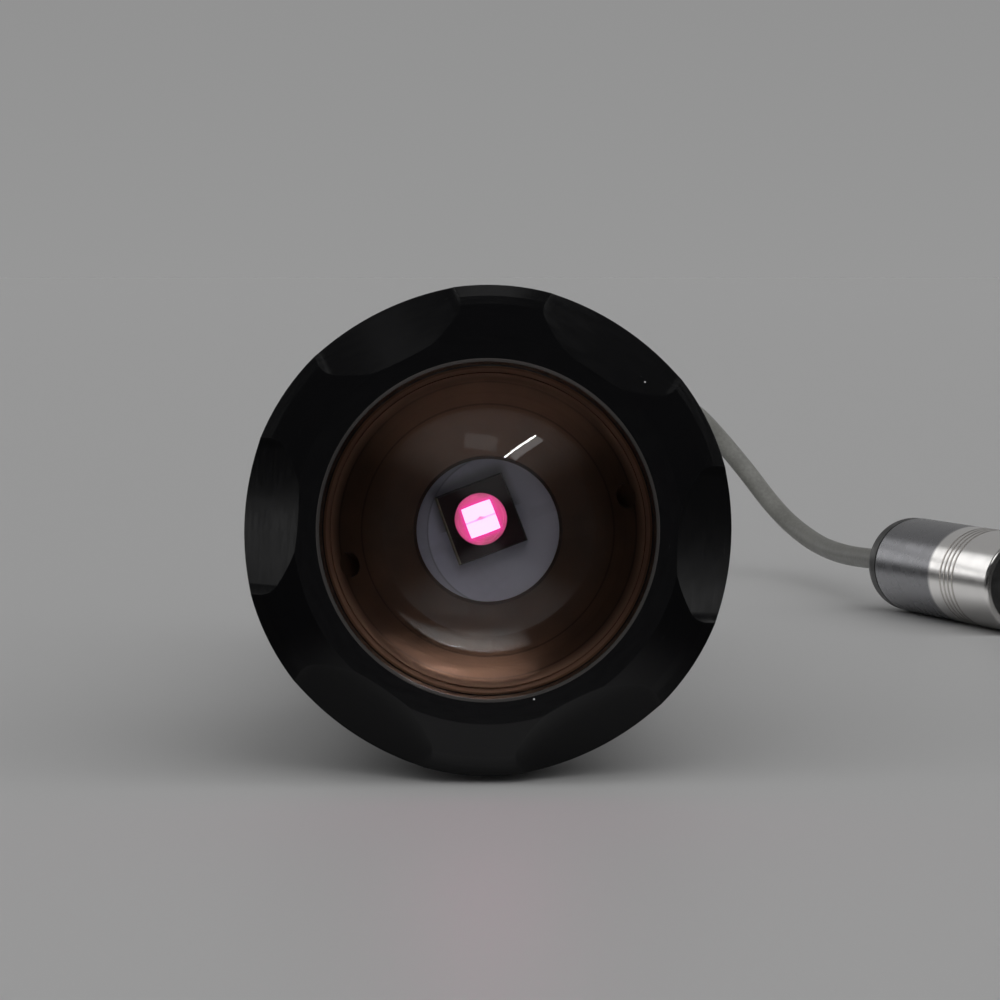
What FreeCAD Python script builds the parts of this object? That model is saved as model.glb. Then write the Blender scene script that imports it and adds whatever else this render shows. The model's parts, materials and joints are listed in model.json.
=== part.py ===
import FreeCAD, Part
import math
import os
import Sketcher
from FreeCAD import Placement, Rotation, Vector

# A torch-shaped infrared illuminator with a focusing head, lying on a flat surface,
# with a short supply lead from its tail to an in-line power socket.
# Each turned piece is drawn along the torch's own axis: height 0 is the front face
# of the bezel and heights grow towards the tail. Millimetres throughout.

doc = FreeCAD.newDocument("InfraredIlluminator")
sheet = doc.addObject("Spreadsheet::Sheet", "Sizes")

# Driving sizes: name, millimetres or degrees, and what it measures
SIZES = (
    ("rim_width", "4.2", "flat front face to the outside of the bezel"),
    ("nose_thread", "4.6", "thread that holds the bezel, front to back"),
    ("mouth_step", "0.4", "opening in front of the lens, inside the sleeve's bore"),
    ("mouth_bevel", "0.2", "bevel round that opening"),
    ("face_width", "2.0", "width of the flat front face"),
    ("slope_inset", "1.6", "edge of the sloping land, inside the outside"),
    ("shoulder_inset", "0.9", "edge of the first bevel, inside the outside"),
    ("slope_depth", "1.5", "depth of the sloping land"),
    ("shoulder_depth", "0.6", "depth of the first bevel"),
    ("edge_bevel_depth", "1.2", "depth of the second bevel, up to the outside"),
    ("back_bevel", "0.4", "bevel at the back of the bezel"),
    ("lip_depth", "6.2", "front face to the seat of the lens"),
    ("scallop_count", "6", "scallops round the bezel"),
    ("scallop_phase", "3.6", "angle of the first scallop"),
    ("scallop_bite", "0.35", "how far a scallop bites into the flat face"),
    ("scallop_run", "5.8", "depth at which the floor meets the outside"),
    ("scallop_half_width", "6.65", "half the width of a scallop"),
    ("scallop_hollow", "28.0", "radius of the hollow floor"),
    ("scallop_corner", "1.6", "corner radius of the cutter"),
    ("cutter_reach", "7.2", "how far the cutter's section goes past the outside"),
    ("lens_rim", "1.0", "width of the lens flange"),
    ("lens_gap", "0.1", "curved face to the bezel's opening"),
    ("lens_semi_depth", "67.5", "semi-axis of the curved face along the axis"),
    ("lens_width_share", "2.3046", "its semi-axis across, as a share of its outside"),
    ("lens_flange", "1.7", "thickness of the lens flange"),
    ("gasket_thickness", "0.5", "silicone ring behind the lens"),
    ("nose_wall", "1.45", "threaded nose of the sleeve, outside the lens"),
    ("lip_height", "0.5", "lip that carries the gasket, inside the bore"),
    ("sleeve_lip", "1.5", "thickness of that lip"),
    ("grip_wall", "3.8", "ribbed grip, outside the bore"),
    ("grip_length", "19.5", "length of the ribbed grip"),
    ("grip_groove_count", "5", "grooves in the grip"),
    ("grip_groove_margin", "3.6", "bezel to the first groove"),
    ("grip_groove_pitch", "3.1", "from groove to groove"),
    ("grip_groove_width", "1.5", "width of a groove"),
    ("grip_groove_depth", "0.8", "depth of a groove"),
    ("cuff_wall", "2.8", "plain cuff at the back, outside the bore"),
    ("cuff_slope", "2.1", "slope from the grip to the cuff"),
    ("cuff_length", "6.8", "length of the cuff"),
    ("sleeve_end_bevel", "0.5", "bevel at the back of the sleeve"),
    ("focus_travel", "14.0", "how far the head slides forward"),
    ("slide_clearance", "0.05", "radial running clearance of sliding pieces"),
    ("thread_clearance", "0.05", "radial clearance of screwed pieces"),
    ("screw_inset", "2.8", "guide screw to the back of the sleeve"),
    ("screw_radius", "1.5", "thread of the guide screw"),
    ("screw_sunk", "0.3", "screw end below the cuff"),
    ("screw_key_flats", "0.75", "half the flats of its hexagon socket"),
    ("screw_key_depth", "1.1", "depth of the hexagon socket"),
    ("screw_tip_radius", "0.9", "plain tip that runs in the slot"),
    ("slot_depth", "1.2", "depth of the guide slot"),
    ("slot_end_gap", "0.05", "tip to the slot's end at each stop"),
    ("tip_end_gap", "0.2", "tip to the bottom of the slot"),
    ("tube_gap", "0.4", "sleeve lip to the tube at rest"),
    ("slide_step", "0.85", "slide under the head, outside the tube"),
    ("pill_step", "1.1", "front bore for the pill flange, outside the bore"),
    ("tube_wall", "2.1", "wall of the tube"),
    ("tail_wall", "1.9", "wall under the tail thread"),
    ("tail_bore_run", "7.0", "narrow bore in front of the shoulder"),
    ("ring_section", "0.75", "section radius of the sliding rings"),
    ("ring_slot_gap", "3.0", "second sliding ring to the slot"),
    ("ring_pitch", "3.0", "first ring to second ring"),
    ("ring_groove_half_width", "0.95", "half width of a ring groove"),
    ("ring_seat_gap", "0.03", "ring to the bottom of its groove"),
    ("ring_bore_gap", "0.02", "ring to the bore round it"),
    ("collar_gap", "0.3", "sleeve to the collar at rest"),
    ("collar_height", "2.5", "collar behind the head, outside the tube"),
    ("collar_length", "6.6", "length of the collar"),
    ("fin_groove_width", "1.1", "grooves between the cooling fins"),
    ("fin_groove_depth", "1.5", "depth of those grooves"),
    ("fin_thickness", "1.1", "thickness of a cooling fin"),
    ("tube_radius", "12.7", "outside of the tube"),
    ("flute_gap", "3.7", "collar to the fluted grip"),
    ("flute_length", "24.0", "length of the fluted grip"),
    ("flute_count", "24", "flutes round the tube"),
    ("flute_radius", "1.2", "radius of a flute"),
    ("flute_depth", "0.5", "depth of a flute"),
    ("band_gap", "2.0", "fluted grip to the smooth clamp band"),
    ("band_groove_width", "0.8", "groove in front of the band"),
    ("band_groove_depth", "0.4", "depth of that groove"),
    ("band_length", "25.0", "clamp band and bevel, up to the tail cap"),
    ("shoulder_bevel", "0.4", "bevel in front of the tail cap"),
    ("thread_step", "1.4", "tail thread, inside the tube's outside"),
    ("tail_thread_length", "8.0", "length of the tail thread"),
    ("tail_ring_section", "0.53", "section radius of the tail ring"),
    ("tail_ring_offset", "1.4", "shoulder to the middle of the tail ring"),
    ("tail_ring_groove_half_width", "0.7", "half width of its groove"),
    ("retainer_sunk", "0.9", "brown retaining ring, behind the tube's front"),
    ("retainer_thickness", "1.2", "thickness of that ring"),
    ("retainer_opening", "3.95", "opening that shows the board"),
    ("retainer_bevel", "0.25", "bevel round that opening"),
    ("retainer_rim", "1.4", "stepped rim of the ring"),
    ("retainer_step_depth", "0.12", "depth of that step"),
    ("spanner_inset", "1.3", "spanner holes, inside that step"),
    ("spanner_radius", "0.8", "radius of a spanner hole"),
    ("spanner_depth", "0.9", "depth of a spanner hole"),
    ("spanner_angle", "-14.0", "angle of the spanner holes"),
    ("board_inset", "1.7", "light board, inside the front bore"),
    ("board_thickness", "1.6", "thickness of the light board"),
    ("package_side", "3.75", "side of the light source"),
    ("package_height", "0.8", "height of its black body"),
    ("package_turn", "-20.6", "angle at which it is soldered"),
    ("package_offset_x", "-0.38", "light source from the axis, across"),
    ("package_offset_y", "-0.6", "light source from the axis, up and down"),
    ("dome_radius", "1.4", "silicone dome"),
    ("chip_side", "1.1", "emitting chip"),
    ("chip_height", "0.12", "height of the chip"),
    ("dish_inset", "0.1", "dish that holds the chip, inside the dome"),
    ("chip_sunk", "0.02", "depth of the dish past the chip's height"),
    ("chip_split", "0.05", "gap between the two emitting fields"),
    ("chip_split_depth", "0.05", "depth of that gap"),
    ("pill_flange", "3.0", "thickness of the pill flange"),
    ("pill_clearance", "0.05", "pill to tube"),
    ("pill_web", "6.0", "solid front of the pill"),
    ("pill_length", "15.0", "pill behind the board"),
    ("pill_rim", "2.5", "rim of the pill behind the ledge that carries the driver board"),
    ("pill_wall", "2.0", "hollow of the pill, inside the tube's bore"),
    ("driver_ledge", "0.7", "driver board, outside the hollow"),
    ("driver_thickness", "1.2", "thickness of the driver board"),
    ("wire_radius", "0.6", "insulated wire"),
    ("wire_hole_clearance", "0.3", "wire to its hole"),
    ("lamp_wire_inset", "2.0", "wires to the light board, inside the hollow"),
    ("supply_wire_place", "0.65", "supply wires, from the axis"),
    ("inductor_radius", "3.0", "inductor"),
    ("inductor_height", "3.6", "height of the inductor"),
    ("inductor_place", "-3.6", "inductor, up and down"),
    ("part_gap", "0.6", "least space between parts on the driver board"),
    ("control_width", "4.9", "driver chip, long side"),
    ("control_depth", "3.9", "driver chip, short side"),
    ("control_height", "1.4", "driver chip, height"),
    ("capacitor_width", "3.2", "capacitor, long side"),
    ("capacitor_depth", "1.6", "capacitor, short side"),
    ("capacitor_height", "1.7", "capacitor, height"),
    ("cap_step", "0.3", "tail cap, inside the tube's outside"),
    ("cap_length", "15.6", "length of the tail cap"),
    ("cap_end_wall", "3.6", "end wall of the tail cap"),
    ("cap_bevel", "0.8", "bevel at both ends of the tail cap"),
    ("cap_hollow_step", "0.4", "hollow of the cap, inside the tube's tail bore"),
    ("cap_thread_gap", "0.4", "tube end to the bottom of the cap thread"),
    ("cap_flute_count", "12", "flutes round the tail cap"),
    ("cap_flute_radius", "2.2", "radius of a cap flute"),
    ("cap_flute_depth", "0.5", "depth of a cap flute"),
    ("cap_flute_margin", "3.0", "plain rim beside the cap flutes"),
    ("gland_thread", "4.0", "thread of the gland in the cap"),
    ("gland_inside", "4.0", "gland thread past the inside of the wall"),
    ("neck_wall", "1.0", "wall of the gland's neck"),
    ("gland_flange", "1.5", "flats of the gland hexagon, outside the thread"),
    ("gland_hex_height", "2.4", "height of that hexagon"),
    ("gland_neck", "4.2", "neck that carries the nut"),
    ("neck_step", "0.1", "neck that carries the nut, inside the thread"),
    ("seal_length", "3.4", "rubber seal in the neck"),
    ("nut_step", "0.1", "flats of the nut, inside the gland's"),
    ("nut_hex_height", "3.4", "hexagon part of the nut"),
    ("nut_length", "6.6", "length of the gland nut"),
    ("crown_wall", "0.6", "round end of the nut, outside the neck"),
    ("nut_lip", "0.3", "mouth of the nut, inside the gland's bore"),
    ("nut_gap", "0.4", "hexagon to the nut"),
    ("boot_collar_thickness", "1.0", "thickness of that collar"),
    ("root_gap", "0.1", "strain relief to the nut's mouth"),
    ("boot_wall", "0.6", "wall of the strain relief at its tip"),
    ("boot_length", "11.0", "strain relief behind the nut"),
    ("boot_rib_count", "4", "cuts that let the strain relief bend"),
    ("boot_rib_pitch", "2.1", "from cut to cut"),
    ("boot_rib_width", "0.7", "width of a cut"),
    ("rib_wall", "0.4", "wall at the bottom of a cut"),
    ("lead_radius", "1.25", "supply lead"),
    ("socket_radius", "5.6", "metal shell of the power socket"),
    ("socket_length", "32.0", "length of the shell"),
    ("shell_wall", "0.6", "wall of the shell"),
    ("shell_edge", "0.5", "rounding at both ends of the shell"),
    ("shell_groove_place", "24.5", "rear edge to the turned grip ring"),
    ("shell_groove_count", "4", "fine grooves in that ring"),
    ("shell_groove_pitch", "1.1", "from groove to groove"),
    ("shell_groove_depth", "0.18", "depth of a groove"),
    ("shell_groove_width", "0.5", "width of a groove"),
    ("socket_boot_length", "5.4", "black rear cap outside the shell"),
    ("socket_boot_inside", "6.0", "rear cap inside the shell"),
    ("rear_neck_wall", "1.15", "rear cap round the lead"),
    ("socket_boot_drum", "3.6", "full-width part of the rear cap"),
    ("rear_round_share", "0.75", "its rounding, as a share of its step"),
    ("insulator_base", "3.5", "solid back of the insulator"),
    ("insulator_recess", "0.6", "insulator below the shell's mouth"),
    ("insulator_slack", "0.05", "insulator to the shell"),
    ("barrel_hole", "3.0", "hole that takes the plug's barrel"),
    ("barrel_depth", "9.5", "depth of that hole"),
    ("pin_radius", "1.0", "centre pin"),
    ("pin_below_mouth", "0.8", "pin end below the insulator's face"),
    ("contact_width", "1.6", "side contact"),
    ("contact_thickness", "0.3", "thickness of the side contact"),
    ("contact_short", "2.0", "side contact, shorter than the hole"),
    ("overcut", "0.5", "how far a cutter runs past the surface that it cuts"),
)


class Size:
    """A size with its number and the expression that binds to it."""

    def __init__(self, text, value):
        self.text = text
        self.value = value

    def __float__(self):
        return self.value

    def __add__(self, other):
        return Size(f"({self.text} + {said(other)})", self.value + float(other))

    def __radd__(self, other):
        return Size(f"({said(other)} + {self.text})", float(other) + self.value)

    def __sub__(self, other):
        return Size(f"({self.text} - {said(other)})", self.value - float(other))

    def __rsub__(self, other):
        return Size(f"({said(other)} - {self.text})", float(other) - self.value)

    def __mul__(self, other):
        return Size(f"({self.text} * {said(other)})", self.value * float(other))

    def __rmul__(self, other):
        return self * other

    def __truediv__(self, other):
        return Size(f"({self.text} / {said(other)})", self.value / float(other))

    def __neg__(self):
        return Size(f"(0 - {self.text})", -self.value)


def said(amount):
    """The text of a size or of a plain number."""
    return amount.text if isinstance(amount, Size) else str(amount)


def root(amount):
    """The square root of a size."""
    return Size(f"sqrt({amount.text})", math.sqrt(amount.value))


class Sizes:
    """Every size as an attribute."""


s = Sizes()
for row, (alias, number, meaning) in enumerate(SIZES, start=1):
    sheet.set(f"A{row}", meaning)
    sheet.set(f"B{row}", number)
    sheet.setAlias(f"B{row}", alias)
    setattr(s, alias, Size(f"Sizes.{alias}", float(number)))
doc.recompute()

parts = {}


def bind(thing, name, amount):
    """Sets a property to a number, or binds it to a size."""
    if isinstance(amount, Size):
        thing.setExpression(name, amount.text)
    else:
        setattr(thing, name, amount)


# Sketches


def origin_plane(body, role):
    """One of the body's own origin planes."""
    return next(item for item in body.Origin.OriginFeatures if item.Role == role)


def new_sketch(body, name, role="XZ_Plane", height=0, turn=0):
    """A sketch on an origin plane, moved along its normal and turned about it."""
    sketch = body.newObject("Sketcher::SketchObject", name)
    sketch.AttachmentSupport = (origin_plane(body, role), [""])
    sketch.MapMode = "FlatFace"
    place = Placement(Vector(0, 0, float(height)), Rotation(Vector(0, 0, 1), float(turn)))
    sketch.AttachmentOffset = place
    if isinstance(height, Size):
        sketch.setExpression(".AttachmentOffset.Base.z", height.text)
    if isinstance(turn, Size):
        sketch.setExpression(".AttachmentOffset.Rotation.Angle", turn.text)
    return sketch


def hold(sketch, kind, corner, distance, end=1):
    """Ties one coordinate of a point to the sketch's origin."""
    if float(distance) == 0:
        axis = -2 if kind == "DistanceX" else -1
        sketch.addConstraint(Sketcher.Constraint("PointOnObject", corner, end, axis))
        return
    points = (-1, 1, corner, end) if float(distance) > 0 else (corner, end, -1, 1)
    index = sketch.addConstraint(Sketcher.Constraint(kind, *points, abs(float(distance))))
    if isinstance(distance, Size):
        text = distance.text if float(distance) > 0 else f"-{distance.text}"
        sketch.setExpression(f"Constraints[{index}]", text)


def hold_radius(sketch, curve, radius):
    """Ties the radius of a circle or an arc."""
    index = sketch.addConstraint(Sketcher.Constraint("Radius", curve, float(radius)))
    if isinstance(radius, Size):
        sketch.setExpression(f"Constraints[{index}]", radius.text)


def draw_outline(sketch, points):
    """A closed outline of straight lines through the points."""
    corners = [Vector(float(x), float(y), 0) for x, y in points]
    for start, end in zip(corners, corners[1:] + corners[:1]):
        sketch.addGeometry(Part.LineSegment(start, end))
    for corner, (x, y) in enumerate(points):
        following = (corner + 1) % len(points)
        sketch.addConstraint(Sketcher.Constraint("Coincident", corner, 2, following, 1))
        hold(sketch, "DistanceX", corner, x)
        hold(sketch, "DistanceY", corner, y)


def draw_circle(sketch, x, y, radius):
    """A circle with its centre held from the origin."""
    centre = Vector(float(x), float(y), 0)
    index = sketch.addGeometry(Part.Circle(centre, Vector(0, 0, 1), float(radius)))
    hold(sketch, "DistanceX", index, x, end=3)
    hold(sketch, "DistanceY", index, y, end=3)
    hold_radius(sketch, index, radius)


def draw_slot(sketch, near, far, half_width):
    """A slot with round ends along the sketch's upright axis, between two end centres."""
    width = float(half_width)
    low = Vector(0, float(near), 0)
    high = Vector(0, float(far), 0)
    across = Vector(width, 0, 0)
    circle_low = Part.Circle(low, Vector(0, 0, 1), width)
    circle_high = Part.Circle(high, Vector(0, 0, 1), width)
    sketch.addGeometry(Part.ArcOfCircle(circle_high, 0, math.pi))
    sketch.addGeometry(Part.LineSegment(high - across, low - across))
    sketch.addGeometry(Part.ArcOfCircle(circle_low, math.pi, 2 * math.pi))
    sketch.addGeometry(Part.LineSegment(low + across, high + across))
    for first, second in ((0, 1), (1, 2), (2, 3), (3, 0)):
        sketch.addConstraint(Sketcher.Constraint("Tangent", first, 2, second, 1))
    sketch.addConstraint(Sketcher.Constraint("Equal", 0, 2))
    hold(sketch, "DistanceX", 0, 0, end=3)
    hold(sketch, "DistanceX", 2, 0, end=3)
    hold(sketch, "DistanceY", 0, far, end=3)
    hold(sketch, "DistanceY", 2, near, end=3)
    hold_radius(sketch, 0, half_width)


# Features


def new_body(label):
    """An empty body, kept under its name."""
    body = doc.addObject("PartDesign::Body", label)
    body.Label = label
    parts[label] = body
    return body


def turned(label, outline):
    """A body turned round the axis from an outline of (radius, height) points."""
    body = new_body(label)
    sketch = new_sketch(body, "Outline")
    draw_outline(sketch, outline)
    turn = body.newObject("PartDesign::Revolution", "Turned")
    turn.Profile = sketch
    turn.ReferenceAxis = (sketch, ["V_Axis"])
    turn.Angle = 360
    sketch.Visibility = False
    doc.recompute()
    return body


def pocket(body, sketch, depth, backwards=False):
    """Cuts a sketch into the body and checks that it removes material."""
    before = body.Shape.Volume
    cut = body.newObject("PartDesign::Pocket", "Pocket")
    cut.Profile = sketch
    cut.Reversed = backwards
    bind(cut, "Length", depth)
    doc.recompute()
    must_shrink(body, before)
    return cut


def round_pattern(body, feature, count):
    """Repeats a cut evenly round the axis."""
    before = body.Shape.Volume
    pattern = body.newObject("PartDesign::PolarPattern", "Pattern")
    pattern.Originals = [feature]
    pattern.Axis = (origin_plane(body, "Z_Axis"), [""])
    pattern.Angle = 360
    bind(pattern, "Occurrences", count)
    body.Tip = pattern
    doc.recompute()
    must_shrink(body, before)
    return pattern


def row_pattern(body, feature, count, pitch):
    """Repeats a cut along the axis."""
    before = body.Shape.Volume
    pattern = body.newObject("PartDesign::LinearPattern", "Row")
    pattern.Originals = [feature]
    pattern.Direction = (origin_plane(body, "Z_Axis"), [""])
    bind(pattern, "Length", (count - 1) * pitch)
    bind(pattern, "Occurrences", count)
    body.Tip = pattern
    doc.recompute()
    must_shrink(body, before)
    return pattern


def ring_cut(body, inner, outer, start, width):
    """Turns a square groove into the body."""
    before = body.Shape.Volume
    sketch = new_sketch(body, "GrooveOutline")
    draw_outline(
        sketch,
        ((inner, start), (outer, start), (outer, start + width), (inner, start + width)),
    )
    cut = body.newObject("PartDesign::Groove", "Groove")
    cut.Profile = sketch
    cut.ReferenceAxis = (sketch, ["V_Axis"])
    cut.Angle = 360
    sketch.Visibility = False
    doc.recompute()
    must_shrink(body, before)
    return cut


def round_edges(body, radius, wanted):
    """Rounds the circular edges that lie at the wanted (radius, height) pairs."""
    base = body.Tip
    names = []
    for number, edge in enumerate(base.Shape.Edges, start=1):
        if not isinstance(edge.Curve, Part.Circle):
            continue
        found = (edge.Curve.Radius, edge.Curve.Center.z)
        if any(math.dist(found, (float(r), float(z))) < 1e-4 for r, z in wanted):
            names.append(f"Edge{number}")
    fillet = body.newObject("PartDesign::Fillet", "Rounding")
    fillet.Base = (base, names)
    bind(fillet, "Radius", radius)
    body.Tip = fillet
    doc.recompute()


def must_shrink(body, before):
    """Stops if a cut left the body as it was."""
    if body.Shape.Volume >= before - 1e-6:
        raise ValueError(f"a cut in {body.Label} removed nothing")


def primitive(kind, name, **sizes):
    """A solid of one plain kind, such as Part::Cylinder, with its sizes bound."""
    solid = doc.addObject(kind, name)
    for size_name, amount in sizes.items():
        bind(solid, size_name, amount)
    return solid


def raised(solid, x=0, y=0, z=0):
    """Moves a solid, each distance bound where it is a size."""
    solid.Placement.Base = Vector(float(x), float(y), float(z))
    for axis, amount in (("x", x), ("y", y), ("z", z)):
        if isinstance(amount, Size):
            solid.setExpression(f"Placement.Base.{axis}", amount.text)
    return solid


def joined(name, *solids):
    """Several solids made one."""
    union = doc.addObject("Part::MultiFuse", name)
    union.Shapes = list(solids)
    union.Refine = True
    return union


def bored(name, base, tool):
    """One solid less another."""
    cut = doc.addObject("Part::Cut", name)
    cut.Base = base
    cut.Tool = tool
    return cut


def finish(label, thing):
    """Keeps a built solid under its piece's name."""
    thing.Label = label
    parts[label] = thing
    doc.recompute()
    return thing


def tube(name, outer, inner, start, length):
    """A plain round tube on the axis."""
    wall = primitive("Part::Cylinder", f"{name}Wall", Radius=outer, Height=length)
    hole = primitive("Part::Cylinder", f"{name}Hole", Radius=inner, Height=length)
    return bored(f"{name}Tube", raised(wall, z=start), raised(hole, z=start))


# Half the flats of a hexagon as a share of its corner radius
FLAT_SHARE = math.sqrt(3) / 2

# Radii that follow from the tube's, so that a new tube carries every piece on it

s.slide_radius = s.tube_radius + s.slide_step
s.sleeve_bore = s.slide_radius + s.slide_clearance
s.sleeve_lip_bore = s.sleeve_bore - s.lip_height
s.grip_radius = s.sleeve_bore + s.grip_wall
s.cuff_radius = s.sleeve_bore + s.cuff_wall
s.bezel_bore = s.sleeve_bore - s.mouth_step
s.flat_radius = s.bezel_bore + s.face_width
s.head_radius = s.flat_radius + s.rim_width
s.slope_radius = s.head_radius - s.slope_inset
s.shoulder_radius = s.head_radius - s.shoulder_inset
s.scallop_floor = s.flat_radius - s.scallop_bite
s.scallop_reach = s.head_radius + s.cutter_reach
s.lens_dome = s.bezel_bore - s.lens_gap
s.lens_radius = s.lens_dome + s.lens_rim
s.lens_semi_width = s.lens_dome * s.lens_width_share
s.nose_radius = s.lens_radius + s.nose_wall
s.collar_radius = s.tube_radius + s.collar_height
s.tube_bore = s.tube_radius - s.tube_wall
s.tube_front_bore = s.tube_bore + s.pill_step
s.tail_thread_radius = s.tube_radius - s.thread_step
s.tube_tail_bore = s.tail_thread_radius - s.tail_wall
s.retainer_step_radius = s.tube_front_bore - s.retainer_rim
s.spanner_circle = s.retainer_step_radius - s.spanner_inset
s.board_radius = s.tube_front_bore - s.board_inset
s.pill_cavity = s.tube_bore - s.pill_wall
s.driver_radius = s.pill_cavity + s.driver_ledge
s.lamp_wire_place = s.pill_cavity - s.lamp_wire_inset
s.cap_radius = s.tube_radius - s.cap_step
s.cap_hollow = s.tube_tail_bore - s.cap_hollow_step
slot_floor = s.slide_radius - s.slot_depth
slide_ring_middle = s.sleeve_bore - s.ring_bore_gap - s.ring_section
tail_ring_middle = s.tail_thread_radius + s.thread_clearance - s.ring_bore_gap - s.tail_ring_section

# Radii that follow from the gland's thread, the dome or the lead

s.chip_recess = s.dome_radius - s.dish_inset
s.gland_flats = s.gland_thread + s.gland_flange
s.gland_neck_radius = s.gland_thread - s.neck_step
s.gland_bore = s.gland_neck_radius - s.neck_wall
s.nut_flats = s.gland_flats - s.nut_step
s.nut_crown_radius = s.gland_neck_radius + s.crown_wall
s.nut_mouth = s.gland_bore - s.nut_lip
s.boot_collar = s.gland_bore - s.thread_clearance
s.boot_root = s.nut_mouth - s.root_gap
s.boot_tip = s.lead_radius + s.boot_wall
s.boot_rib_floor = s.lead_radius + s.rib_wall
s.socket_boot_neck = s.lead_radius + s.rear_neck_wall
s.socket_boot_round = (s.socket_radius - s.socket_boot_neck) * s.rear_round_share

# Heights along the axis, each from the one before it

lens_back = s.lip_depth + s.lens_flange
nose_front = lens_back + s.gasket_thickness
sleeve_lip_back = nose_front + s.sleeve_lip
tube_front = sleeve_lip_back + s.tube_gap
s.bezel_length = nose_front + s.nose_thread
s.grip_groove_start = s.bezel_length + s.grip_groove_margin
s.grip_end = s.bezel_length + s.grip_length
s.cuff_start = s.grip_end + s.cuff_slope
s.sleeve_end = s.cuff_start + s.cuff_length
s.screw_station = s.sleeve_end - s.screw_inset
s.front_ring_station = s.screw_station - s.focus_travel - s.ring_slot_gap - s.ring_pitch
s.retainer_front = tube_front + s.retainer_sunk
board_front = s.retainer_front + s.retainer_thickness
board_back = board_front + s.board_thickness
pill_seat = board_back + s.pill_flange
driver_front = board_back + s.pill_length - s.pill_rim
driver_back = driver_front + s.driver_thickness
collar_front = s.sleeve_end + s.collar_gap
collar_back = collar_front + s.collar_length
s.flute_start = collar_back + s.flute_gap
s.band_start = s.flute_start + s.flute_length + s.band_gap
s.tube_shoulder = s.band_start + s.band_length
s.tail_bore_start = s.tube_shoulder - s.tail_bore_run
tube_end = s.tube_shoulder + s.tail_thread_length
cap_end = s.tube_shoulder + s.cap_length
nut_front = cap_end + s.gland_hex_height + s.nut_gap
nut_end = nut_front + s.nut_length
boot_end = nut_end + s.boot_length
gland_front = cap_end - s.cap_end_wall - s.gland_inside
s.insulator_length = s.barrel_depth + s.insulator_base
s.contact_length = s.barrel_depth - s.contact_short


# Bezel: one turned ring with six milled scallops that leave six lands


def draw_scallop(sketch, floor):
    """The scallop's section: a hollow floor, two round corners and upright sides."""
    half = float(s.scallop_half_width)
    hollow = float(s.scallop_hollow)
    corner = float(s.scallop_corner)
    top = float(s.scallop_reach)
    middle = Vector(float(floor) + hollow, 0, 0)
    reach = math.sqrt((hollow - corner) ** 2 - (half - corner) ** 2)
    side_middle = Vector(middle.x - reach, half - corner, 0)
    spread = math.atan2(half - corner, reach)
    floor_circle = Part.Circle(middle, Vector(0, 0, 1), hollow)
    up_circle = Part.Circle(side_middle, Vector(0, 0, 1), corner)
    down_circle = Part.Circle(Vector(side_middle.x, -side_middle.y, 0), Vector(0, 0, 1), corner)
    quarter = math.pi / 2
    sketch.addGeometry(Part.ArcOfCircle(floor_circle, math.pi - spread, math.pi + spread))
    sketch.addGeometry(Part.ArcOfCircle(down_circle, math.pi + spread, 3 * quarter))
    sketch.addGeometry(Part.LineSegment(Vector(side_middle.x, -half, 0), Vector(top, -half, 0)))
    sketch.addGeometry(Part.LineSegment(Vector(top, -half, 0), Vector(top, half, 0)))
    sketch.addGeometry(Part.LineSegment(Vector(top, half, 0), Vector(side_middle.x, half, 0)))
    sketch.addGeometry(Part.ArcOfCircle(up_circle, quarter, math.pi - spread))
    for first, second in ((0, 1), (1, 2), (4, 5), (5, 0)):
        sketch.addConstraint(Sketcher.Constraint("Tangent", first, 2, second, 1))
    for first, second in ((2, 3), (3, 4)):
        sketch.addConstraint(Sketcher.Constraint("Coincident", first, 2, second, 1))
    sketch.addConstraint(Sketcher.Constraint("Vertical", 3))
    sketch.addConstraint(Sketcher.Constraint("Horizontal", 2))
    sketch.addConstraint(Sketcher.Constraint("Horizontal", 4))
    sketch.addConstraint(Sketcher.Constraint("Equal", 1, 5))
    hold(sketch, "DistanceX", 0, floor + s.scallop_hollow, end=3)
    hold(sketch, "DistanceY", 0, 0, end=3)
    hold(sketch, "DistanceX", 3, s.scallop_reach)
    hold(sketch, "DistanceY", 3, -s.scallop_half_width)
    hold(sketch, "DistanceY", 4, s.scallop_half_width)
    hold_radius(sketch, 0, s.scallop_hollow)
    hold_radius(sketch, 1, s.scallop_corner)


def make_bezel():
    """The bezel screws on the sleeve's nose and holds the lens against its lip."""
    shoulder = s.slope_depth + s.shoulder_depth
    land_edge = shoulder + s.edge_bevel_depth
    lens_bore = s.lens_radius + s.thread_clearance
    thread_bore = s.nose_radius + s.thread_clearance
    body = turned("bezel_ring", (
        (s.bezel_bore, s.mouth_bevel),
        (s.bezel_bore + s.mouth_bevel, 0),
        (s.flat_radius, 0),
        (s.slope_radius, s.slope_depth),
        (s.shoulder_radius, shoulder),
        (s.head_radius, land_edge),
        (s.head_radius, s.bezel_length - s.back_bevel),
        (s.head_radius - s.back_bevel, s.bezel_length),
        (thread_bore, s.bezel_length),
        (thread_bore, nose_front),
        (lens_bore, nose_front),
        (lens_bore, s.lip_depth),
        (s.bezel_bore, s.lip_depth),
    ))
    slant = (s.head_radius - s.scallop_floor) / s.scallop_run
    before_face = s.slope_depth
    past_edge = s.scallop_run + s.edge_bevel_depth
    front = new_sketch(body, "ScallopFront", "XY_Plane", -before_face, s.scallop_phase)
    draw_scallop(front, s.scallop_floor - slant * before_face)
    back = new_sketch(body, "ScallopBack", "XY_Plane", past_edge, s.scallop_phase)
    draw_scallop(back, s.scallop_floor + slant * past_edge)
    doc.recompute()
    before = body.Shape.Volume
    scoop = body.newObject("PartDesign::SubtractiveLoft", "Scallop")
    scoop.Profile = front
    scoop.Sections = [back]
    scoop.Ruled = True
    doc.recompute()
    must_shrink(body, before)
    round_pattern(body, scoop, s.scallop_count)


# Lens: plano-convex, with a part-ellipsoid face and a thin flange


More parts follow.
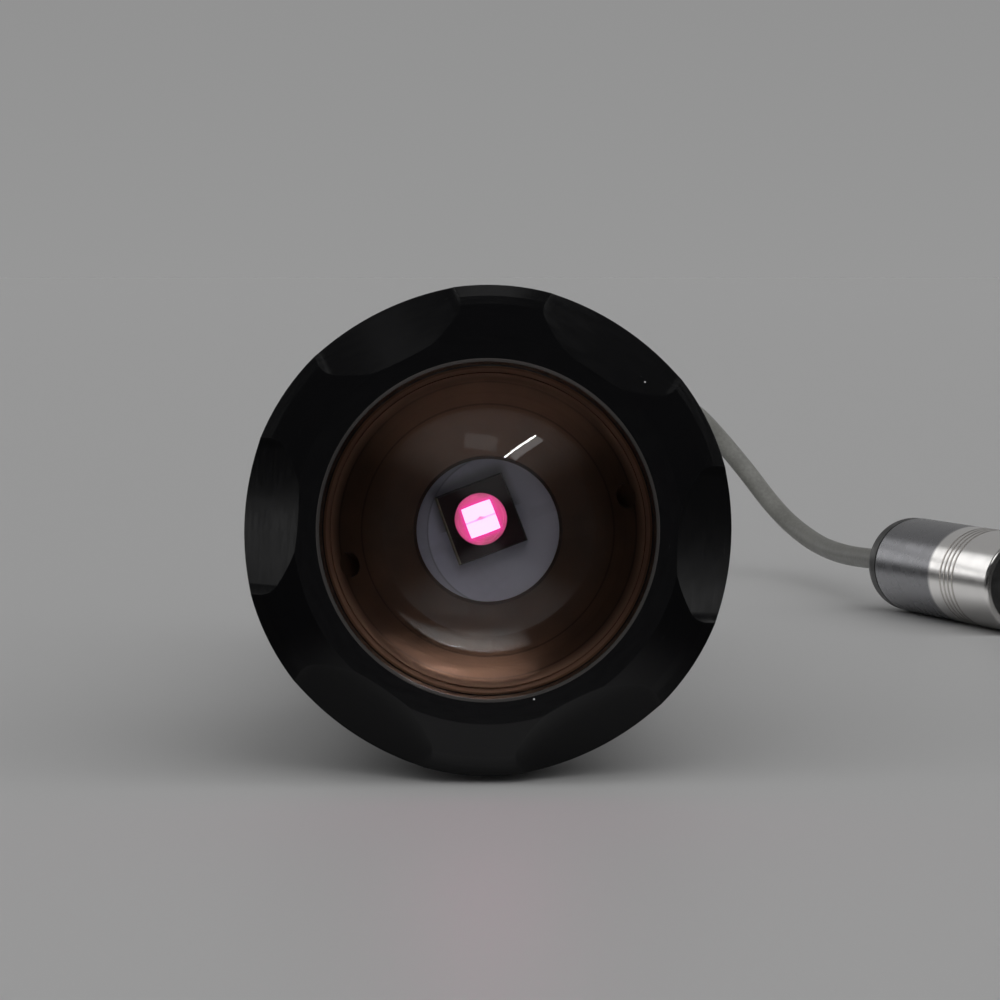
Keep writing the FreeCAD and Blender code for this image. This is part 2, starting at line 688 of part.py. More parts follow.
def make_lens():
    """Pressed glass, seated on the bezel's lip; its flat face looks at the chip."""
    shallow = root(1 - s.lens_dome * s.lens_dome / (s.lens_semi_width * s.lens_semi_width))
    sag = s.lens_semi_depth * (1 - shallow)
    vertex = s.lip_depth - sag
    form = primitive(
        "Part::Ellipsoid", "LensForm",
        Radius1=s.lens_semi_depth, Radius2=s.lens_semi_width, Radius3=s.lens_semi_width,
        Angle1=-90, Angle2=90, Angle3=360,
    )
    raised(form, z=vertex + s.lens_semi_depth)
    bar = primitive("Part::Cylinder", "LensBar", Radius=s.lens_dome, Height=lens_back)
    dome = doc.addObject("Part::Common", "LensDome")
    dome.Base = form
    dome.Tool = bar
    flange = primitive("Part::Cylinder", "LensFlange", Radius=s.lens_radius, Height=s.lens_flange)
    raised(flange, z=s.lip_depth)
    finish("lens", joined("Lens", dome, flange))


def make_lens_gasket():
    """A flat silicone ring between the lens and the sleeve."""
    ring = tube("Gasket", s.lens_radius, s.sleeve_lip_bore, lens_back, s.gasket_thickness)
    finish("lens_gasket", ring)


# Head sleeve: slides on the tube, ribbed outside for the fingers


def make_sleeve():
    """Turned sleeve with a threaded nose, five grip grooves and a cross hole for the screw."""
    body = turned("head_sleeve", (
        (s.sleeve_lip_bore, nose_front),
        (s.nose_radius, nose_front),
        (s.nose_radius, s.bezel_length),
        (s.grip_radius, s.bezel_length),
        (s.grip_radius, s.grip_end),
        (s.cuff_radius, s.cuff_start),
        (s.cuff_radius, s.sleeve_end - s.sleeve_end_bevel),
        (s.cuff_radius - s.sleeve_end_bevel, s.sleeve_end),
        (s.sleeve_bore, s.sleeve_end),
        (s.sleeve_bore, sleeve_lip_back),
        (s.sleeve_lip_bore, sleeve_lip_back),
    ))
    floor = s.grip_radius - s.grip_groove_depth
    groove = ring_cut(
        body, floor, s.grip_radius + s.overcut, s.grip_groove_start, s.grip_groove_width,
    )
    row_pattern(body, groove, s.grip_groove_count, s.grip_groove_pitch)
    outside = s.cuff_radius + s.overcut
    hole = new_sketch(body, "ScrewHole", "XZ_Plane", outside)
    draw_circle(hole, 0, s.screw_station, s.screw_radius + s.thread_clearance)
    doc.recompute()
    pocket(body, hole, outside - s.sleeve_bore + s.overcut)


def make_guide_screw():
    """A grub screw whose plain tip runs in the tube's slot, so the head slides unturned."""
    thread_inner = s.sleeve_bore + s.slide_clearance
    thread_outer = s.cuff_radius - s.screw_sunk
    tip_inner = slot_floor + s.tip_end_gap
    thread = primitive(
        "Part::Cylinder", "ScrewThread", Radius=s.screw_radius, Height=thread_outer - thread_inner,
    )
    raised(thread, z=thread_inner)
    tip = primitive(
        "Part::Cylinder", "ScrewTip", Radius=s.screw_tip_radius, Height=thread_inner - tip_inner,
    )
    raised(tip, z=tip_inner)
    key = primitive(
        "Part::Prism", "ScrewKey", Polygon=6,
        Circumradius=s.screw_key_flats / FLAT_SHARE, Height=s.screw_key_depth,
    )
    raised(key, z=thread_outer - s.screw_key_depth)
    finish("guide_screw", bored("GuideScrew", joined("ScrewBlank", thread, tip), key))


# Tube: the fixed body, from the slide under the head to the tail thread


def ring_groove(body, station, ring_middle, section, outer, half_width):
    """A groove for a sealing ring, centred on its station and as deep as the ring needs."""
    bottom = ring_middle - section - s.ring_seat_gap
    return ring_cut(body, bottom, outer, station - half_width, half_width * 2)


def make_tube():
    """Turned tube: slide with two rings and a slot, finned collar, flutes, smooth band, thread."""
    tail_start = s.tube_shoulder
    body = turned("body_tube", (
        (s.tube_front_bore, tube_front),
        (s.slide_radius, tube_front),
        (s.slide_radius, collar_front),
        (s.collar_radius, collar_front),
        (s.collar_radius, collar_back),
        (s.tube_radius, collar_back + (s.collar_radius - s.tube_radius)),
        (s.tube_radius, tail_start - s.shoulder_bevel),
        (s.tube_radius - s.shoulder_bevel, tail_start),
        (s.tail_thread_radius, tail_start),
        (s.tail_thread_radius, tube_end),
        (s.tube_tail_bore, tube_end),
        (s.tube_tail_bore, s.tail_bore_start + (s.tube_bore - s.tube_tail_bore)),
        (s.tube_bore, s.tail_bore_start),
        (s.tube_bore, pill_seat),
        (s.tube_front_bore, pill_seat),
    ))
    for station in (s.front_ring_station, s.front_ring_station + s.ring_pitch):
        ring_groove(
            body, station, slide_ring_middle, s.ring_section, s.slide_radius + s.overcut,
            s.ring_groove_half_width,
        )
    fin_floor = s.collar_radius - s.fin_groove_depth
    fin = ring_cut(
        body, fin_floor, s.collar_radius + s.overcut, collar_front + s.fin_thickness,
        s.fin_groove_width,
    )
    row_pattern(body, fin, 2, s.fin_groove_width + s.fin_thickness)
    ring_cut(
        body, s.tube_radius - s.band_groove_depth, s.tube_radius + s.overcut,
        s.band_start - s.band_groove_width, s.band_groove_width,
    )
    ring_groove(
        body, tail_start + s.tail_ring_offset, tail_ring_middle, s.tail_ring_section,
        s.tail_thread_radius + s.overcut, s.tail_ring_groove_half_width,
    )
    slot = new_sketch(body, "GuideSlot", "XZ_Plane", s.slide_radius + s.overcut)
    slot_half = s.screw_tip_radius + s.slide_clearance
    near = s.screw_station - s.focus_travel - s.slot_end_gap + s.slide_clearance
    far = s.screw_station + s.slot_end_gap - s.slide_clearance
    draw_slot(slot, near, far, slot_half)
    doc.recompute()
    pocket(body, slot, s.slot_depth + s.overcut)
    flute = new_sketch(body, "Flute", "XY_Plane", s.flute_start)
    draw_circle(flute, s.tube_radius + s.flute_radius - s.flute_depth, 0, s.flute_radius)
    doc.recompute()
    cut = pocket(body, flute, s.flute_length, backwards=True)
    round_pattern(body, cut, s.flute_count)


def make_slide_rings():
    """Two rubber rings that seal the slide and hold it by friction."""
    stations = (s.front_ring_station, s.front_ring_station + s.ring_pitch)
    for label, station in zip(("slide_ring_front", "slide_ring_rear"), stations):
        ring = primitive("Part::Torus", label, Radius1=slide_ring_middle, Radius2=s.ring_section)
        finish(label, raised(ring, z=station))


def make_tail_ring():
    """The rubber ring under the tail cap."""
    ring = primitive(
        "Part::Torus", "tail_ring", Radius1=tail_ring_middle, Radius2=s.tail_ring_section,
    )
    finish("tail_ring", raised(ring, z=s.tube_shoulder + s.tail_ring_offset))


# Light engine: retaining ring, board, source, pill and driver


def make_retainer():
    """Copper-brown ring that clamps the board; two blind holes take a pin spanner."""
    outside = s.tube_front_bore - s.pill_clearance
    body = turned("pill_retainer", (
        (s.retainer_opening, s.retainer_front + s.retainer_bevel),
        (s.retainer_opening + s.retainer_bevel, s.retainer_front),
        (s.retainer_step_radius, s.retainer_front),
        (s.retainer_step_radius, s.retainer_front + s.retainer_step_depth),
        (outside, s.retainer_front + s.retainer_step_depth),
        (outside, board_front),
        (s.retainer_opening, board_front),
    ))
    hole = new_sketch(body, "SpannerHole", "XY_Plane", s.retainer_front, s.spanner_angle)
    draw_circle(hole, s.spanner_circle, 0, s.spanner_radius)
    doc.recompute()
    cut = pocket(body, hole, s.spanner_depth, backwards=True)
    round_pattern(body, cut, 2)


def make_board():
    """Metal-core light board under the retaining ring."""
    disc = primitive(
        "Part::Cylinder", "led_board", Radius=s.board_radius, Height=s.board_thickness,
    )
    finish("led_board", raised(disc, z=board_front))


def make_source():
    """Black package with a dish, the two-field chip in the dish and the dome over it."""
    top = board_front - s.package_height
    floor = top + s.chip_height + s.chip_sunk
    case = primitive(
        "Part::Box", "PackageCase",
        Length=s.package_side, Width=s.package_side, Height=s.package_height,
    )
    raised(case, -s.package_side / 2, -s.package_side / 2, top)
    dish = primitive("Part::Cylinder", "PackageDish", Radius=s.chip_recess, Height=floor - top)
    finish("led_package", bored("Package", case, raised(dish, z=top)))
    chip = primitive(
        "Part::Box", "ChipBlock", Length=s.chip_side, Width=s.chip_side, Height=s.chip_height,
    )
    raised(chip, -s.chip_side / 2, -s.chip_side / 2, floor - s.chip_height)
    split = primitive(
        "Part::Box", "ChipSplit", Length=s.chip_side, Width=s.chip_split, Height=s.chip_split_depth,
    )
    raised(split, -s.chip_side / 2, -s.chip_split / 2, floor - s.chip_height)
    finish("led_chip", bored("Chip", chip, split))
    ball = primitive("Part::Sphere", "DomeBall", Radius=s.dome_radius, Angle1=-90, Angle2=0)
    finish("led_dome", raised(ball, z=top))


def make_pill():
    """Heat-spreading plug that carries the board in front and the driver behind."""
    flange = s.tube_front_bore - s.pill_clearance
    neck = s.tube_bore - s.pill_clearance
    board_hole = s.board_radius + s.pill_clearance
    ledge_bore = s.driver_radius + s.pill_clearance
    body = turned("pill", (
        (0, board_back),
        (board_hole, board_back),
        (board_hole, board_front),
        (flange, board_front),
        (flange, pill_seat),
        (neck, pill_seat),
        (neck, board_back + s.pill_length),
        (ledge_bore, board_back + s.pill_length),
        (ledge_bore, driver_front),
        (s.pill_cavity, driver_front),
        (s.pill_cavity, board_back + s.pill_web),
        (0, board_back + s.pill_web),
    ))
    hole = new_sketch(body, "WireHole", "XY_Plane", board_back)
    draw_circle(hole, s.lamp_wire_place, 0, s.wire_radius + s.wire_hole_clearance)
    doc.recompute()
    cut = pocket(body, hole, s.pill_web, backwards=True)
    round_pattern(body, cut, 2)


def make_driver():
    """Driver board with its inductor, chip and capacitor in the pill's hollow."""
    disc = primitive(
        "Part::Cylinder", "driver_board", Radius=s.driver_radius, Height=s.driver_thickness,
    )
    finish("driver_board", raised(disc, z=driver_front))
    coil = primitive(
        "Part::Cylinder", "driver_inductor", Radius=s.inductor_radius, Height=s.inductor_height,
    )
    raised(coil, y=s.inductor_place, z=driver_front - s.inductor_height)
    finish("driver_inductor", coil)
    control_edge = s.inductor_place + s.inductor_radius + s.part_gap
    control = primitive(
        "Part::Box", "driver_chip",
        Length=s.control_width, Width=s.control_depth, Height=s.control_height,
    )
    raised(control, -s.control_width / 2, control_edge, driver_front - s.control_height)
    finish("driver_chip", control)
    capacitor = primitive(
        "Part::Box", "driver_capacitor",
        Length=s.capacitor_width, Width=s.capacitor_depth, Height=s.capacitor_height,
    )
    raised(
        capacitor, -s.capacitor_width / 2, control_edge + s.control_depth + s.part_gap,
        driver_front - s.capacitor_height,
    )
    finish("driver_capacitor", capacitor)


def make_wires():
    """Two wires from the driver to the light board, two from the lead to the driver."""
    runs = (
        ("lamp_wire_red", s.lamp_wire_place, board_back, driver_front),
        ("lamp_wire_black", -s.lamp_wire_place, board_back, driver_front),
        ("supply_wire_red", s.supply_wire_place, driver_back, gland_front),
        ("supply_wire_black", -s.supply_wire_place, driver_back, gland_front),
    )
    for label, place, start, end in runs:
        wire = primitive("Part::Cylinder", label, Radius=s.wire_radius, Height=end - start)
        finish(label, raised(wire, x=place, z=start))


# Tail: cap, gland, nut and strain relief


def make_cap():
    """Turned cap with twelve shallow flutes between plain rims."""
    thread = s.tail_thread_radius + s.thread_clearance
    thread_end = tube_end + s.cap_thread_gap
    inner_wall = cap_end - s.cap_end_wall
    gland_hole = s.gland_thread + s.thread_clearance
    body = turned("tail_cap", (
        (thread, s.tube_shoulder),
        (s.cap_radius - s.cap_bevel / 2, s.tube_shoulder),
        (s.cap_radius, s.tube_shoulder + s.cap_bevel / 2),
        (s.cap_radius, cap_end - s.cap_bevel),
        (s.cap_radius - s.cap_bevel, cap_end),
        (gland_hole, cap_end),
        (gland_hole, inner_wall),
        (s.cap_hollow, inner_wall),
        (s.cap_hollow, thread_end),
        (thread, thread_end),
    ))
    start = s.tube_shoulder + s.cap_flute_margin
    length = s.cap_length - s.cap_flute_margin * 2
    flute = new_sketch(body, "CapFlute", "XY_Plane", start)
    draw_circle(flute, s.cap_radius + s.cap_flute_radius - s.cap_flute_depth, 0, s.cap_flute_radius)
    doc.recompute()
    cut = pocket(body, flute, length, backwards=True)
    round_pattern(body, cut, s.cap_flute_count)


def hexagon(name, flats, start, height):
    """A hexagonal bar, sized by half the distance across its flats."""
    bar = primitive(
        "Part::Prism", name, Polygon=6, Circumradius=flats / FLAT_SHARE, Height=height,
    )
    return raised(bar, z=start)


def cylinder(name, radius, start, end):
    """A round bar on the axis from one height to another."""
    return raised(primitive("Part::Cylinder", name, Radius=radius, Height=end - start), z=start)


def make_gland():
    """Cable gland: body screwed in the cap, rubber seal in its neck, nut over both."""
    neck_front = cap_end + s.gland_hex_height
    neck_end = neck_front + s.gland_neck
    blank = joined(
        "GlandBlank",
        cylinder("GlandThread", s.gland_thread, gland_front, cap_end),
        hexagon("GlandHexagon", s.gland_flats, cap_end, s.gland_hex_height),
        cylinder("GlandNeck", s.gland_neck_radius, neck_front, neck_end),
    )
    bore = cylinder("GlandBore", s.gland_bore, neck_end - s.seal_length, neck_end)
    passage = cylinder("GlandPassage", s.lead_radius + s.thread_clearance, gland_front, neck_end)
    finish("gland_body", bored("Gland", blank, joined("GlandHollow", bore, passage)))
    seal = tube(
        "Seal", s.gland_bore - s.thread_clearance, s.lead_radius + s.thread_clearance / 2,
        neck_end - s.seal_length, s.seal_length,
    )
    finish("gland_seal", seal)
    collar_back_face = neck_end + s.boot_collar_thickness
    nut_blank = joined(
        "NutBlank",
        hexagon("NutHexagon", s.nut_flats, nut_front, s.nut_hex_height),
        cylinder("NutCrown", s.nut_crown_radius, nut_front, nut_end),
    )
    nut_hollow = joined(
        "NutHollow",
        cylinder("NutThread", s.gland_neck_radius + s.thread_clearance, nut_front, collar_back_face),
        cylinder("NutMouth", s.nut_mouth, nut_front, nut_end),
    )
    finish("gland_nut", bored("Nut", nut_blank, nut_hollow))


def make_strain_relief():
    """Tapered rubber sleeve, held by its collar under the nut, cut so that it bends."""
    neck_end = cap_end + s.gland_hex_height + s.gland_neck
    collar_back_face = neck_end + s.boot_collar_thickness
    hole = s.lead_radius + s.thread_clearance / 2
    body = turned("strain_relief", (
        (hole, neck_end),
        (s.boot_collar, neck_end),
        (s.boot_collar, collar_back_face),
        (s.boot_root, collar_back_face),
        (s.boot_root, nut_end),
        (s.boot_tip, boot_end),
        (hole, boot_end),
    ))
    cut = ring_cut(
        body, s.boot_rib_floor, s.boot_root + s.overcut,
        nut_end + s.boot_rib_pitch / 2, s.boot_rib_width,
    )
    row_pattern(body, cut, s.boot_rib_count, s.boot_rib_pitch)


def make_inner_lead():
    """The jacketed end of the lead, held in the gland and its strain relief."""
    finish("lead_inner", cylinder("LeadInner", s.lead_radius, gland_front, boot_end))


# In-line power socket, along its own axis from the lead to the mouth


def make_socket():
    """Metal shell, black rear cap, insulator with centre pin and side contact."""
    shell_start = s.socket_boot_length
    shell_end = shell_start + s.socket_length
    inside = s.socket_radius - s.shell_wall
    mouth = shell_end - s.insulator_recess
    insulator_back = mouth - s.insulator_length
    shell = turned("socket_shell", (
        (inside, shell_start),
        (s.socket_radius, shell_start),
        (s.socket_radius, shell_end),
        (inside, shell_end),
    ))
    round_edges(shell, s.shell_edge, ((s.socket_radius, shell_start), (s.socket_radius, shell_end)))
    groove = ring_cut(
        shell, s.socket_radius - s.shell_groove_depth, s.socket_radius + s.overcut,
        s.shell_groove_place, s.shell_groove_width,
    )
    row_pattern(shell, groove, s.shell_groove_count, s.shell_groove_pitch)
    cap_radius = s.socket_radius - s.insulator_slack
    plug = inside - s.insulator_slack
    hole = s.lead_radius + s.thread_clearance / 2
    shoulder = s.socket_boot_length - s.socket_boot_drum
    lead_stop = shell_start + s.socket_boot_inside
    cap = turned("socket_rear_cap", (
        (hole, 0),
        (s.socket_boot_neck, 0),
        (s.socket_boot_neck, shoulder),
        (cap_radius, shoulder),
        (cap_radius, shell_start),
        (plug, shell_start),
        (plug, lead_stop),
        (hole, lead_stop),
    ))
    round_edges(cap, s.socket_boot_round, ((cap_radius, shoulder),))
    insulator = turned("socket_insulator", (
        (0, insulator_back),
        (plug, insulator_back),
        (plug, mouth),
        (s.barrel_hole, mouth),
        (s.barrel_hole, mouth - s.barrel_depth),
        (0, mouth - s.barrel_depth),
    ))
    notch = new_sketch(insulator, "ContactNotch", "XY_Plane", mouth)
    half = (s.contact_width + s.insulator_slack * 2) / 2
    reach = s.barrel_hole + s.contact_thickness
    start = s.barrel_hole - s.overcut
    draw_outline(notch, ((start, -half), (reach, -half), (reach, half), (start, half)))
    doc.recompute()
    pocket(insulator, notch, s.barrel_depth)
    pin = cylinder("SocketPin", s.pin_radius, mouth - s.barrel_depth, mouth - s.pin_below_mouth)
    finish("socket_pin", pin)
    leaf = primitive(
        "Part::Box", "socket_contact",
        Length=s.contact_thickness, Width=s.contact_width, Height=s.contact_length,
    )
    raised(leaf, s.barrel_hole, -s.contact_width / 2, mouth - s.barrel_depth)
    finish("socket_contact", leaf)
    finish("socket_lead_end", cylinder("SocketLeadEnd", s.lead_radius, 0, lead_stop))


# Rest pose: the bezel's back edge and the tail cap's rim both touch the floor

front_touch = (float(s.head_radius), float(s.bezel_length - s.back_bevel))
tail_touch = (float(s.cap_radius), float(cap_end - s.cap_bevel))
tilt = math.atan2(front_touch[0] - tail_touch[0], tail_touch[1] - front_touch[1])
nose_height = front_touch[0] * math.cos(tilt) + front_touch[1] * math.sin(tilt)
foremost = -float(s.flat_radius) * math.sin(tilt)
rearmost = float(nut_end) * math.cos(tilt) + float(s.nut_crown_radius) * math.sin(tilt)
nose_back = -(foremost + rearmost) / 2
torch_turn = Rotation(Vector(1, 0, 0), -90 - math.degrees(tilt))
torch = Placement(Vector(0, nose_back, nose_height), torch_turn)

# The socket lies on the floor beside the tail, pointing forwards and to the right
SOCKET_END = Vector(49.6, 98.5, 0)
SOCKET_HEADING = 17.0
socket_start = Vector(SOCKET_END.x, SOCKET_END.y, float(s.socket_radius))
socket = Placement(
    socket_start,
    Rotation(Vector(0, 0, 1), SOCKET_HEADING) * Rotation(Vector(1, 0, 0), 90),
)

# Points of the lead between the strain relief and the socket, chosen by hand
LEAD_POINTS = (
    (0.2, 86.0, 10.6),
    (2.0, 100.0, 12.4),
    (6.0, 115.0, 17.0),
    (11.5, 129.5, 22.0),
    (18.5, 142.0, 25.0),
    (26.5, 150.5, 23.2),
    (33.5, 153.5, 15.5),
    (39.0, 149.0, 8.0),
    (42.8, 138.5, 5.0),
    (45.0, 125.0, 4.6),
    (46.7, 111.0, 5.1),
)


# Share of a run that the arc at each of its ends takes
ARC_SHARE = 0.45


def make_lead(points):
    """The free lead: straight runs joined by arcs as large as the runs allow."""
    edges = []
    radii = []
    at = points[0]
    for before, corner, after in zip(points, points[1:], points[2:]):
        came = corner - before
        goes = after - corner
        half_turn = came.getAngle(goes) / 2
        back = ARC_SHARE * min(came.Length, goes.Length)
        came.normalize()
        goes.normalize()
        start = corner - came * back
        end = corner + goes * back
        inward = (goes - came).normalize()
        radius = back / math.tan(half_turn)
        middle = corner + inward * (radius / math.cos(half_turn) - radius)
        edges.append(Part.LineSegment(at, start).toShape())
        edges.append(Part.Arc(start, middle, end).toShape())
        radii.append(round(radius, 1))
        at = end
    edges.append(Part.LineSegment(at, points[-1]).toShape())
    path = Part.Wire(edges)
    section = Part.Circle(points[0], points[1] - points[0], float(s.lead_radius)).toShape()
    lead = doc.addObject("Part::Feature", "lead")
    lead.Shape = path.makePipeShell([Part.Wire([section])], True, True)
    print("lead length", round(path.Length, 1), "least radius", min(radii))
    finish("lead", lead)


make_bezel()
make_lens()
make_lens_gasket()
make_sleeve()
make_guide_screw()
make_tube()
make_slide_rings()
make_tail_ring()
make_retainer()
make_board()
make_source()
make_pill()
make_driver()
make_wires()
make_cap()
make_gland()
make_strain_relief()
make_inner_lead()
make_socket()

lead_exit = torch.multVec(Vector(0, 0, float(boot_end)))
route = [lead_exit] + [Vector(*point) for point in LEAD_POINTS] + [socket_start]
make_lead(route)

# Places

SOURCE = ("led_package", "led_chip", "led_dome")
SOCKET = (
    "socket_shell", "socket_rear_cap", "socket_insulator", "socket_pin", "socket_contact",
    "socket_lead_end",
)
source_turn = Rotation(Vector(0, 0, 1), float(s.package_turn))
source_place = Placement(
    Vector(float(s.package_offset_x), float(s.package_offset_y), 0), source_turn,
)
screw_place = Placement(Vector(0, 0, float(s.screw_station)), Rotation(Vector(1, 0, 0), 90))


def place(part, frame):
    """Carries a finished piece from the torch's axis or the socket's to where it lies."""
    for path, _ in part.ExpressionEngine:
        if "Placement" in path:
            part.setExpression(path, None)
    part.Placement = frame * part.Placement


for name, part in parts.items():
    if name in SOCKET:
        place(part, socket)
    elif name in SOURCE:
        place(part, torch * source_place)
    elif name == "guide_screw":
        place(part, torch * screw_place)
    elif name != "lead":
        place(part, torch)
doc.recompute()

# Checks, then one file for each piece

for thing in doc.Objects:
    if "Invalid" in thing.State or "Error" in thing.State:
        raise ValueError(f"{thing.Label} failed: {thing.State}")
for name, part in parts.items():
    if part.Shape.isNull() or not part.Shape.isValid():
        raise ValueError(f"{name} has no valid shape")

os.makedirs("parts", exist_ok=True)
for name, part in parts.items():
    part.Shape.exportStep(os.path.join("parts", f"{name}.step"))
print(len(parts), "pieces, tilt", round(math.degrees(tilt), 3))
print("nose", round(nose_back, 3), round(nose_height, 3))
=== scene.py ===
import json
import math

import bmesh
import bpy
from mathutils import Matrix, Vector


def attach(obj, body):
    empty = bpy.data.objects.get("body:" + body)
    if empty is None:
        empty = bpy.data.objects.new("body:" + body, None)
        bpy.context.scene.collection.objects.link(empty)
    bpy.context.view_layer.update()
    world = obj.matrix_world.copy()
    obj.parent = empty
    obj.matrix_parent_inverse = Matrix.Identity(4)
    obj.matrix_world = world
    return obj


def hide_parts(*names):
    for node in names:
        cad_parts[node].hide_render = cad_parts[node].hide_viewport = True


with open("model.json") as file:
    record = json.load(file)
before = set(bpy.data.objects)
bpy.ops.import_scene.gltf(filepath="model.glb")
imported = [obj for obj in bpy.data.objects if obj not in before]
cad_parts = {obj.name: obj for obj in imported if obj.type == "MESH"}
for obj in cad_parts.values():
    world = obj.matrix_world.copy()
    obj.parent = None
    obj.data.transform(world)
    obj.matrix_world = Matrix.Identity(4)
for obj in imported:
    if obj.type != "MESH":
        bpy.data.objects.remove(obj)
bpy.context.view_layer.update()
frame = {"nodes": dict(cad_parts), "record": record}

# Lamp's axis: the torch lies on the back edge of its bezel and on its tail cap, so its
# axis leans. A place on it is (right, up, forward) from the middle of the bezel's front
# face, in metres, and the clamp band fixes where that is.
clamp = next(mount for mount in frame["record"]["mounts"] if mount["name"] == "body_clamp")
CLAMP_DEPTH = 0.0903
forward = -Vector(clamp["axis"]).normalized()
nose = Vector(clamp["pos_m"]) + forward * CLAMP_DEPTH
upward = forward.cross(Vector((1, 0, 0)))
lean = math.atan2(forward.z, -forward.y)
axes = Matrix((Vector((1, 0, 0)), upward, forward)).transposed()
torch = Matrix.Translation(nose) @ axes.to_4x4()

# Camera: it looks straight at the lens from 300 mm, a little to the right of it and
# above, through a long lens.
VIEW_DISTANCE = 0.3
FOCAL_PIXELS = 3840
IMAGE_PIXELS = 1000
BEZEL_PIXEL = Vector((487.9, 530.2))
view_data = bpy.data.cameras.new("view")
view_data.sensor_width = 36
view_data.lens = view_data.sensor_width * FOCAL_PIXELS / IMAGE_PIXELS
view_data.clip_start = 0.01
view_data.clip_end = 500
view = bpy.data.objects.new("view", view_data)
bpy.context.scene.collection.objects.link(view)
view.location = nose + forward * VIEW_DISTANCE
turn_right = math.atan((IMAGE_PIXELS / 2 - BEZEL_PIXEL.x) / FOCAL_PIXELS)
look_down = lean - math.atan((BEZEL_PIXEL.y - IMAGE_PIXELS / 2) / FOCAL_PIXELS)
view.rotation_euler = (math.pi / 2 - look_down, 0, -turn_right)
bpy.context.scene.camera = view
bpy.context.scene.view_settings.view_transform = "Standard"


# Floor: a pale, matt tabletop that runs back as far as the background, which is the same
# grey. Gloss sees it dark, but for a strip before the lamp and a part by the socket, so
# that the black pieces stay black. In gloss the strip has a painted shadow under the lamp,
# and the part by the socket is painted bright, a painted reflection that gives the socket's
# plating its highlight, with painted shade at its edge.
class Signal:
    """The output of a shader node; arithmetic on it adds Math nodes."""

    def __init__(self, tree, socket):
        self.tree = tree
        self.socket = socket

    def node(self, kind, settings=None, inputs=None, output=0):
        """Adds a node: its settings first, then the values or links of its sockets."""
        made = self.tree.nodes.new(kind)
        for name, value in (settings or {}).items():
            setattr(made, name, value)
        for name, value in (inputs or {}).items():
            if isinstance(value, Signal):
                self.tree.links.new(value.socket, made.inputs[name])
            else:
                made.inputs[name].default_value = value
        return Signal(self.tree, made.outputs[output])

    def math(self, operation, *values):
        """A Math node on values, in their order."""
        return self.node("ShaderNodeMath", {"operation": operation}, dict(enumerate(values)))

    def __add__(self, other):
        return self.math("ADD", self, other)

    def __radd__(self, other):
        return self.math("ADD", other, self)

    def __sub__(self, other):
        return self.math("SUBTRACT", self, other)

    def __rsub__(self, other):
        return self.math("SUBTRACT", other, self)

    def __mul__(self, other):
        return self.math("MULTIPLY", self, other)

    def __rmul__(self, other):
        return self.math("MULTIPLY", other, self)

    def __truediv__(self, other):
        return self.math("DIVIDE", self, other)

    def __pow__(self, other):
        return self.math("POWER", self, other)

    def __abs__(self):
        return self.math("ABSOLUTE", self)

    def __gt__(self, other):
        return self.math("GREATER_THAN", self, other)

    def __lt__(self, other):
        return self.math("LESS_THAN", self, other)

    def parts(self):
        """The three numbers of a vector."""
        split = self.node("ShaderNodeSeparateXYZ", {}, {0: self}).socket.node
        return [Signal(self.tree, socket) for socket in split.outputs]

    def rise(self, low, high):
        """0 below low, 1 above high and a smooth step between them."""
        settings = {"interpolation_type": "SMOOTHSTEP"}
        return self.node("ShaderNodeMapRange", settings, {0: self, 1: low, 2: high})

    def blend(self, before, after):
        """A colour between two others, by this signal."""
        inputs = {"Factor": self, 6: before, 7: after}
        return self.node("ShaderNodeMix", {"data_type": "RGBA"}, inputs, output=2)


def grey(level):
    """A neutral colour."""
    return (level, level, level, 1)


class Finish:
    """A material with one Principled shader, and its places in the lamp's own frame."""

    def __init__(self, name, **values):
        self.material = bpy.data.materials.new(name)
        self.material.use_nodes = True
        self.tree = self.material.node_tree
        self.shader = self.tree.nodes["Principled BSDF"]
        for socket, value in values.items():
            self.set(socket.replace("_", " "), value)
        self.world = Signal(self.tree, None).node("ShaderNodeTexCoord", output="Object")
        inputs = {"Vector": self.world, "Location": nose, "Rotation": torch.to_euler()}
        self.place = self.world.node("ShaderNodeMapping", {"vector_type": "TEXTURE"}, inputs)
        self.right, self.up, self.forward = self.place.parts()
        self.radius = self.away(0, 0)

    def away(self, right, up):
        """Distance from a line that runs beside the lamp's axis."""
        return ((self.right - right) ** 2 + (self.up - up) ** 2) ** 0.5

    def set(self, socket, value):
        """Sets or links one of the shader's sockets."""
        if isinstance(value, Signal):
            self.tree.links.new(value.socket, self.shader.inputs[socket])
        else:
            self.shader.inputs[socket].default_value = value

    def noise(self, place, scale, detail=2.0):
        """Smooth noise, 0 to 1, at a number of cells a metre."""
        inputs = {"Vector": place, "Scale": scale, "Detail": detail}
        return place.node("ShaderNodeTexNoise", {}, inputs)

    def bump(self, height, depth, normal=None):
        """Raises the surface by a signal of 0 to 1 times a depth in metres."""
        inputs = {"Height": height, "Distance": depth, "Strength": 1.0}
        if normal:
            inputs["Normal"] = normal
        self.set("Normal", height.node("ShaderNodeBump", {}, inputs))

    def cover(self, *pieces):
        """Gives the material to pieces, in place of what they had."""
        for piece in pieces:
            piece.data.materials.clear()
            piece.data.materials.append(self.material)


def add_mesh(name, corners, faces):
    """A new object from corners and faces."""
    mesh = bpy.data.meshes.new(name)
    mesh.from_pydata(corners, [], faces)
    piece = bpy.data.objects.new(name, mesh)
    bpy.context.scene.collection.objects.link(piece)
    return piece


